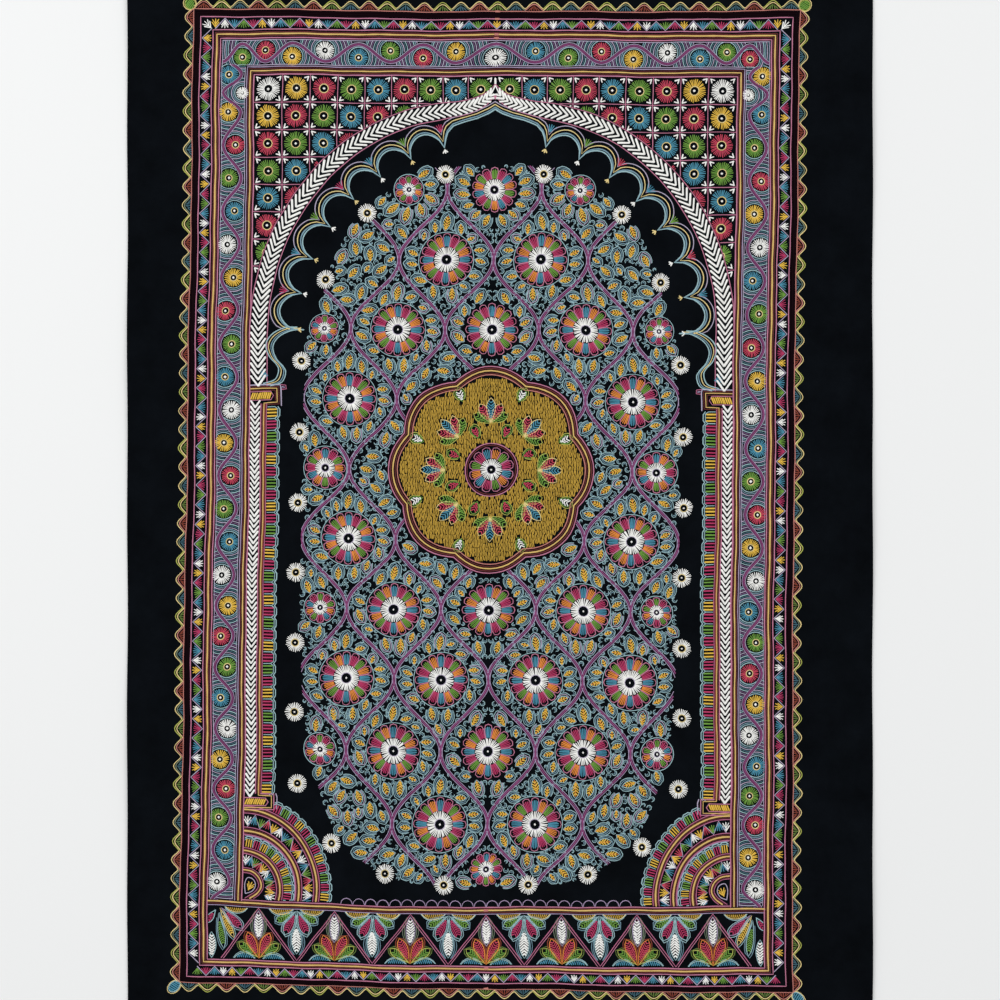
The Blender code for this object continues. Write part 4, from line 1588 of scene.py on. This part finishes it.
def cloth_mesh():
    """The sheet as a closed mesh, its woven edges and ends drawn in a little, here more and there less."""
    half_x, half_y = CLOTH[0] / 2, CLOTH[1] / 2
    xs = lines(half_x, [side * (half_x - edge) for side in (-1, 1) for edge in (1.2, 2.4)])
    ys = lines(half_y, [side * (half_y - edge) for side in (-1, 1) for edge in (HEM, HEM + 0.9, 0.8)])
    gx, gy = np.meshgrid(xs, ys, indexing="ij")
    x, y = gx.ravel(), gy.ravel()
    on_edge = np.clip((np.abs(x) - (half_x - PULLED_IN)) / PULLED_IN, 0, 1)
    on_end = np.clip((np.abs(y) - (half_y - PULLED_IN)) / PULLED_IN, 0, 1)
    x_drawn = x - np.sign(x) * on_edge * (0.35 + 0.35 * np.sin(y / 29 + np.sign(x)))
    y_drawn = y - np.sign(y) * on_end * (0.4 + 0.4 * np.sin(x / 33 + np.sign(y)))
    low = underside(x, y)
    high = topside(x, y) + HEM_RISE * (np.abs(y) >= half_y - HEM - 0.01) + 0.25 * (np.abs(x) >= half_x - 1.3)
    bottom = np.stack([x_drawn, y_drawn, low], 1)
    top = np.stack([x_drawn, y_drawn, high], 1)
    nx, ny = len(xs), len(ys)
    at = np.arange(nx * ny).reshape(nx, ny)
    a, b, c, d = at[:-1, :-1].ravel(), at[1:, :-1].ravel(), at[1:, 1:].ravel(), at[:-1, 1:].ravel()
    faces = [np.stack([a, b, c, d], 1) + nx * ny, np.stack([a, d, c, b], 1)]
    rim = np.r_[at[:, 0], at[-1, 1:], at[-2::-1, -1], at[0, -2:0:-1]]
    nxt = np.roll(rim, -1)
    faces.append(np.stack([rim, nxt, nxt + nx * ny, rim + nx * ny], 1))
    faces = np.vstack(faces)
    mesh = bpy.data.meshes.new("cloth")
    mesh.from_pydata((np.vstack([bottom, top]) * MM).tolist(), [], faces.tolist())
    mesh.polygons.foreach_set("use_smooth", [True] * (len(faces) - len(rim)) + [False] * len(rim))
    mesh.validate()
    return mesh


def cotton_effect():
    """Plain weave: crossing yarns raised in turn, slubs, and a faint bluish unevenness in the black dye."""
    tree = shader_group(
        "plain_weave",
        (("Color", "NodeSocketColor", (0.01, 0.01, 0.01, 1)), ("Yarns per metre", "NodeSocketFloat", 1700.0)),
        (("Color", "NodeSocketColor"), ("Roughness", "NodeSocketFloat"), ("Normal", "NodeSocketVector")),
    )
    link = tree.links.new
    ins, outs = add(tree, "NodeGroupInput"), add(tree, "NodeGroupOutput")
    place = add(tree, "ShaderNodeTexCoord")
    split = add(tree, "ShaderNodeSeparateXYZ")
    link(place.outputs["Object"], split.inputs[0])
    waves = []
    for axis in ("X", "Y"):
        turns = add(tree, "ShaderNodeMath", operation="MULTIPLY")
        link(split.outputs[axis], turns.inputs[0])
        link(ins.outputs["Yarns per metre"], turns.inputs[1])
        angle = add(tree, "ShaderNodeMath", {1: math.pi}, operation="MULTIPLY")
        link(turns.outputs[0], angle.inputs[0])
        wave_node = add(tree, "ShaderNodeMath", operation="SINE")
        link(angle.outputs[0], wave_node.inputs[0])
        waves.append(wave_node)
    crossing = add(tree, "ShaderNodeMath", operation="MULTIPLY")
    link(waves[0].outputs[0], crossing.inputs[0])
    link(waves[1].outputs[0], crossing.inputs[1])
    slub = add(tree, "ShaderNodeTexNoise", {"Scale": 260.0, "Detail": 3.0, "Roughness": 0.6})
    cloudy = add(tree, "ShaderNodeTexNoise", {"Scale": 22.0, "Detail": 4.0, "Roughness": 0.65})
    for noise in (slub, cloudy):
        link(place.outputs["Object"], noise.inputs["Vector"])
    height = add(tree, "ShaderNodeMath", {1: 0.35}, operation="MULTIPLY_ADD")
    link(crossing.outputs[0], height.inputs[0])
    link(slub.outputs["Fac"], height.inputs[2])
    bump = add(tree, "ShaderNodeBump", {"Strength": 0.6, "Distance": 0.0003})
    link(height.outputs[0], bump.inputs["Height"])
    value = add(tree, "ShaderNodeMapRange", {"From Min": 0.3, "From Max": 0.7, "To Min": 0.7, "To Max": 1.5})
    link(cloudy.outputs["Fac"], value.inputs["Value"])
    tint = add(tree, "ShaderNodeHueSaturation")
    link(ins.outputs["Color"], tint.inputs["Color"])
    link(value.outputs["Result"], tint.inputs["Value"])
    rough = add(tree, "ShaderNodeMath", {1: 0.12, 2: 0.82}, operation="MULTIPLY_ADD")
    link(slub.outputs["Fac"], rough.inputs[0])
    link(tint.outputs["Color"], outs.inputs["Color"])
    link(rough.outputs[0], outs.inputs["Roughness"])
    link(bump.outputs["Normal"], outs.inputs["Normal"])
    return tree


black = {"Color": (0.0021, 0.0030, 0.0044, 1)}
cotton = principled("black_cotton", cotton_effect(), black, {"Specular IOR Level": 0.03})
cloth = in_scene("cloth", cloth_mesh())
cloth.data.materials.append(cotton)
print("cloth", len(cloth.data.polygons), "faces")

# %% [markdown]
# The hem's stitches are a row of short black threads, one every three millimetres along the fold. They are
# instanced along a line, because only their spacing matters.

# %% Hem stitches
def stitch_tree():
    tree = bpy.data.node_groups.new("running_stitch", "GeometryNodeTree")
    face = tree.interface
    face.new_socket("Line", in_out="INPUT", socket_type="NodeSocketGeometry")
    face.new_socket("Thread", in_out="INPUT", socket_type="NodeSocketMaterial")
    for label, value in (("Spacing", 0.0032), ("Length", 0.0021), ("Thickness", 0.0004)):
        socket = face.new_socket(label, in_out="INPUT", socket_type="NodeSocketFloat")
        socket.default_value = value
    face.new_socket("Stitches", in_out="OUTPUT", socket_type="NodeSocketGeometry")
    link = tree.links.new
    ins, outs = add(tree, "NodeGroupInput"), add(tree, "NodeGroupOutput")
    curve = add(tree, "GeometryNodeMeshToCurve")
    spaced = add(tree, "GeometryNodeResampleCurve", mode="LENGTH")
    points = add(tree, "GeometryNodeInstanceOnPoints")
    size = add(tree, "ShaderNodeCombineXYZ")
    ball = add(tree, "GeometryNodeMeshIcoSphere", {"Radius": 0.5, "Subdivisions": 1})
    real = add(tree, "GeometryNodeRealizeInstances")
    smooth = add(tree, "GeometryNodeSetShadeSmooth")
    colour = add(tree, "GeometryNodeSetMaterial")
    link(ins.outputs["Line"], curve.inputs["Mesh"])
    link(curve.outputs["Curve"], spaced.inputs["Curve"])
    link(ins.outputs["Spacing"], spaced.inputs["Length"])
    link(spaced.outputs["Curve"], points.inputs["Points"])
    link(ball.outputs["Mesh"], points.inputs["Instance"])
    link(ins.outputs["Length"], size.inputs["X"])
    link(ins.outputs["Thickness"], size.inputs["Y"])
    link(ins.outputs["Thickness"], size.inputs["Z"])
    link(size.outputs["Vector"], points.inputs["Scale"])
    link(points.outputs["Instances"], real.inputs["Geometry"])
    link(real.outputs["Geometry"], smooth.inputs["Geometry"])
    link(smooth.outputs["Geometry"], colour.inputs["Geometry"])
    link(ins.outputs["Thread"], colour.inputs["Material"])
    link(colour.outputs["Geometry"], outs.inputs["Stitches"])
    return tree


def stitch_lines():
    """The line of stitches along each hem, as loose edges."""
    places, edges = [], []
    count = 90
    for end in (-1, 1):
        xs = np.linspace(-CLOTH[0] / 2 + 3, CLOTH[0] / 2 - 3, count)
        y = np.full(count, end * (CLOTH[1] / 2 - HEM + 1.6))
        index = np.arange(count) + len(places) * count
        places.append(np.stack([xs, y, topside(xs, y) + HEM_RISE + 0.02], 1))
        edges.append(np.stack([index[:-1], index[1:]], 1))
    mesh = bpy.data.meshes.new("hem_stitches")
    mesh.from_pydata((np.vstack(places) * MM).tolist(), np.vstack(edges).tolist(), [])
    return mesh


stitches = in_scene("hem_stitches", stitch_lines())
sewing = stitches.modifiers.new("sewing", "NODES")
sewing.node_group = stitch_tree()
near_black = {"Color": (0.012, 0.012, 0.014, 1), "Gloss": 0.6}
sewing_thread = principled("sewing_thread", oil_paint, near_black, {"Specular IOR Level": 0.2})
set_input(sewing, "Thread", sewing_thread)
made_plain(stitches)
print("stitches", sum(len(p.vertices) - 2 for p in stitches.data.polygons), "triangles")

# %% [markdown]
# The picture was lit softly and evenly from all round, and the cloth lay on something almost white. Weak
# shadows on one side of the threads are enough to show that the lines stand up.

# %% Floor and light
FLOOR_HALF = 3.0
FLOOR_DROP = 0.0005
floor_mesh = bpy.data.meshes.new("floor")
floor_signs = ((-1, -1), (1, -1), (1, 1), (-1, 1))
floor_corners = [(x * FLOOR_HALF, y * FLOOR_HALF, -FLOOR_DROP) for x, y in floor_signs]
floor_mesh.from_pydata(floor_corners, [], [(0, 1, 2, 3)])
floor = in_scene("floor", floor_mesh)
pale = bpy.data.materials.new("pale_floor")
pale.use_nodes = True
pale.node_tree.nodes["Principled BSDF"].inputs["Base Color"].default_value = (0.86, 0.87, 0.87, 1)
pale.node_tree.nodes["Principled BSDF"].inputs["Roughness"].default_value = 0.8
floor.data.materials.append(pale)

world = bpy.data.worlds.new("soft_room")
world.use_nodes = True
world.node_tree.nodes["Background"].inputs["Color"].default_value = (1.0, 1.0, 1.0, 1)
world.node_tree.nodes["Background"].inputs["Strength"].default_value = 0.72
bpy.context.scene.world = world


def softbox(name, place, size, watts):
    light = bpy.data.lights.new(name, "AREA")
    light.shape = "RECTANGLE"
    light.size, light.size_y = size
    light.energy = watts
    obj = bpy.data.objects.new(name, light)
    obj.location = place
    obj.rotation_mode = "QUATERNION"
    obj.rotation_quaternion = (-Vector(place)).to_track_quat("-Z", "Y")
    bpy.context.scene.collection.objects.link(obj)
    return obj


softbox("window_left", (-1.9, 1.1, 2.1), (1.6, 1.6), 26)
softbox("window_right", (1.9, 0.8, 2.3), (1.6, 1.6), 14)
bpy.context.scene.view_settings.view_transform = "Standard"
bpy.context.scene.view_settings.look = "None"
bpy.context.scene.view_settings.exposure = 0.0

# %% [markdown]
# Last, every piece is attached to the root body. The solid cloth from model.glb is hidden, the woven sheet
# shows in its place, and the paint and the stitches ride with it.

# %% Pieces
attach(cloth, "root")
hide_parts("painted_cloth")
for piece in thread_pieces + [stitches]:
    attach(piece, "root")
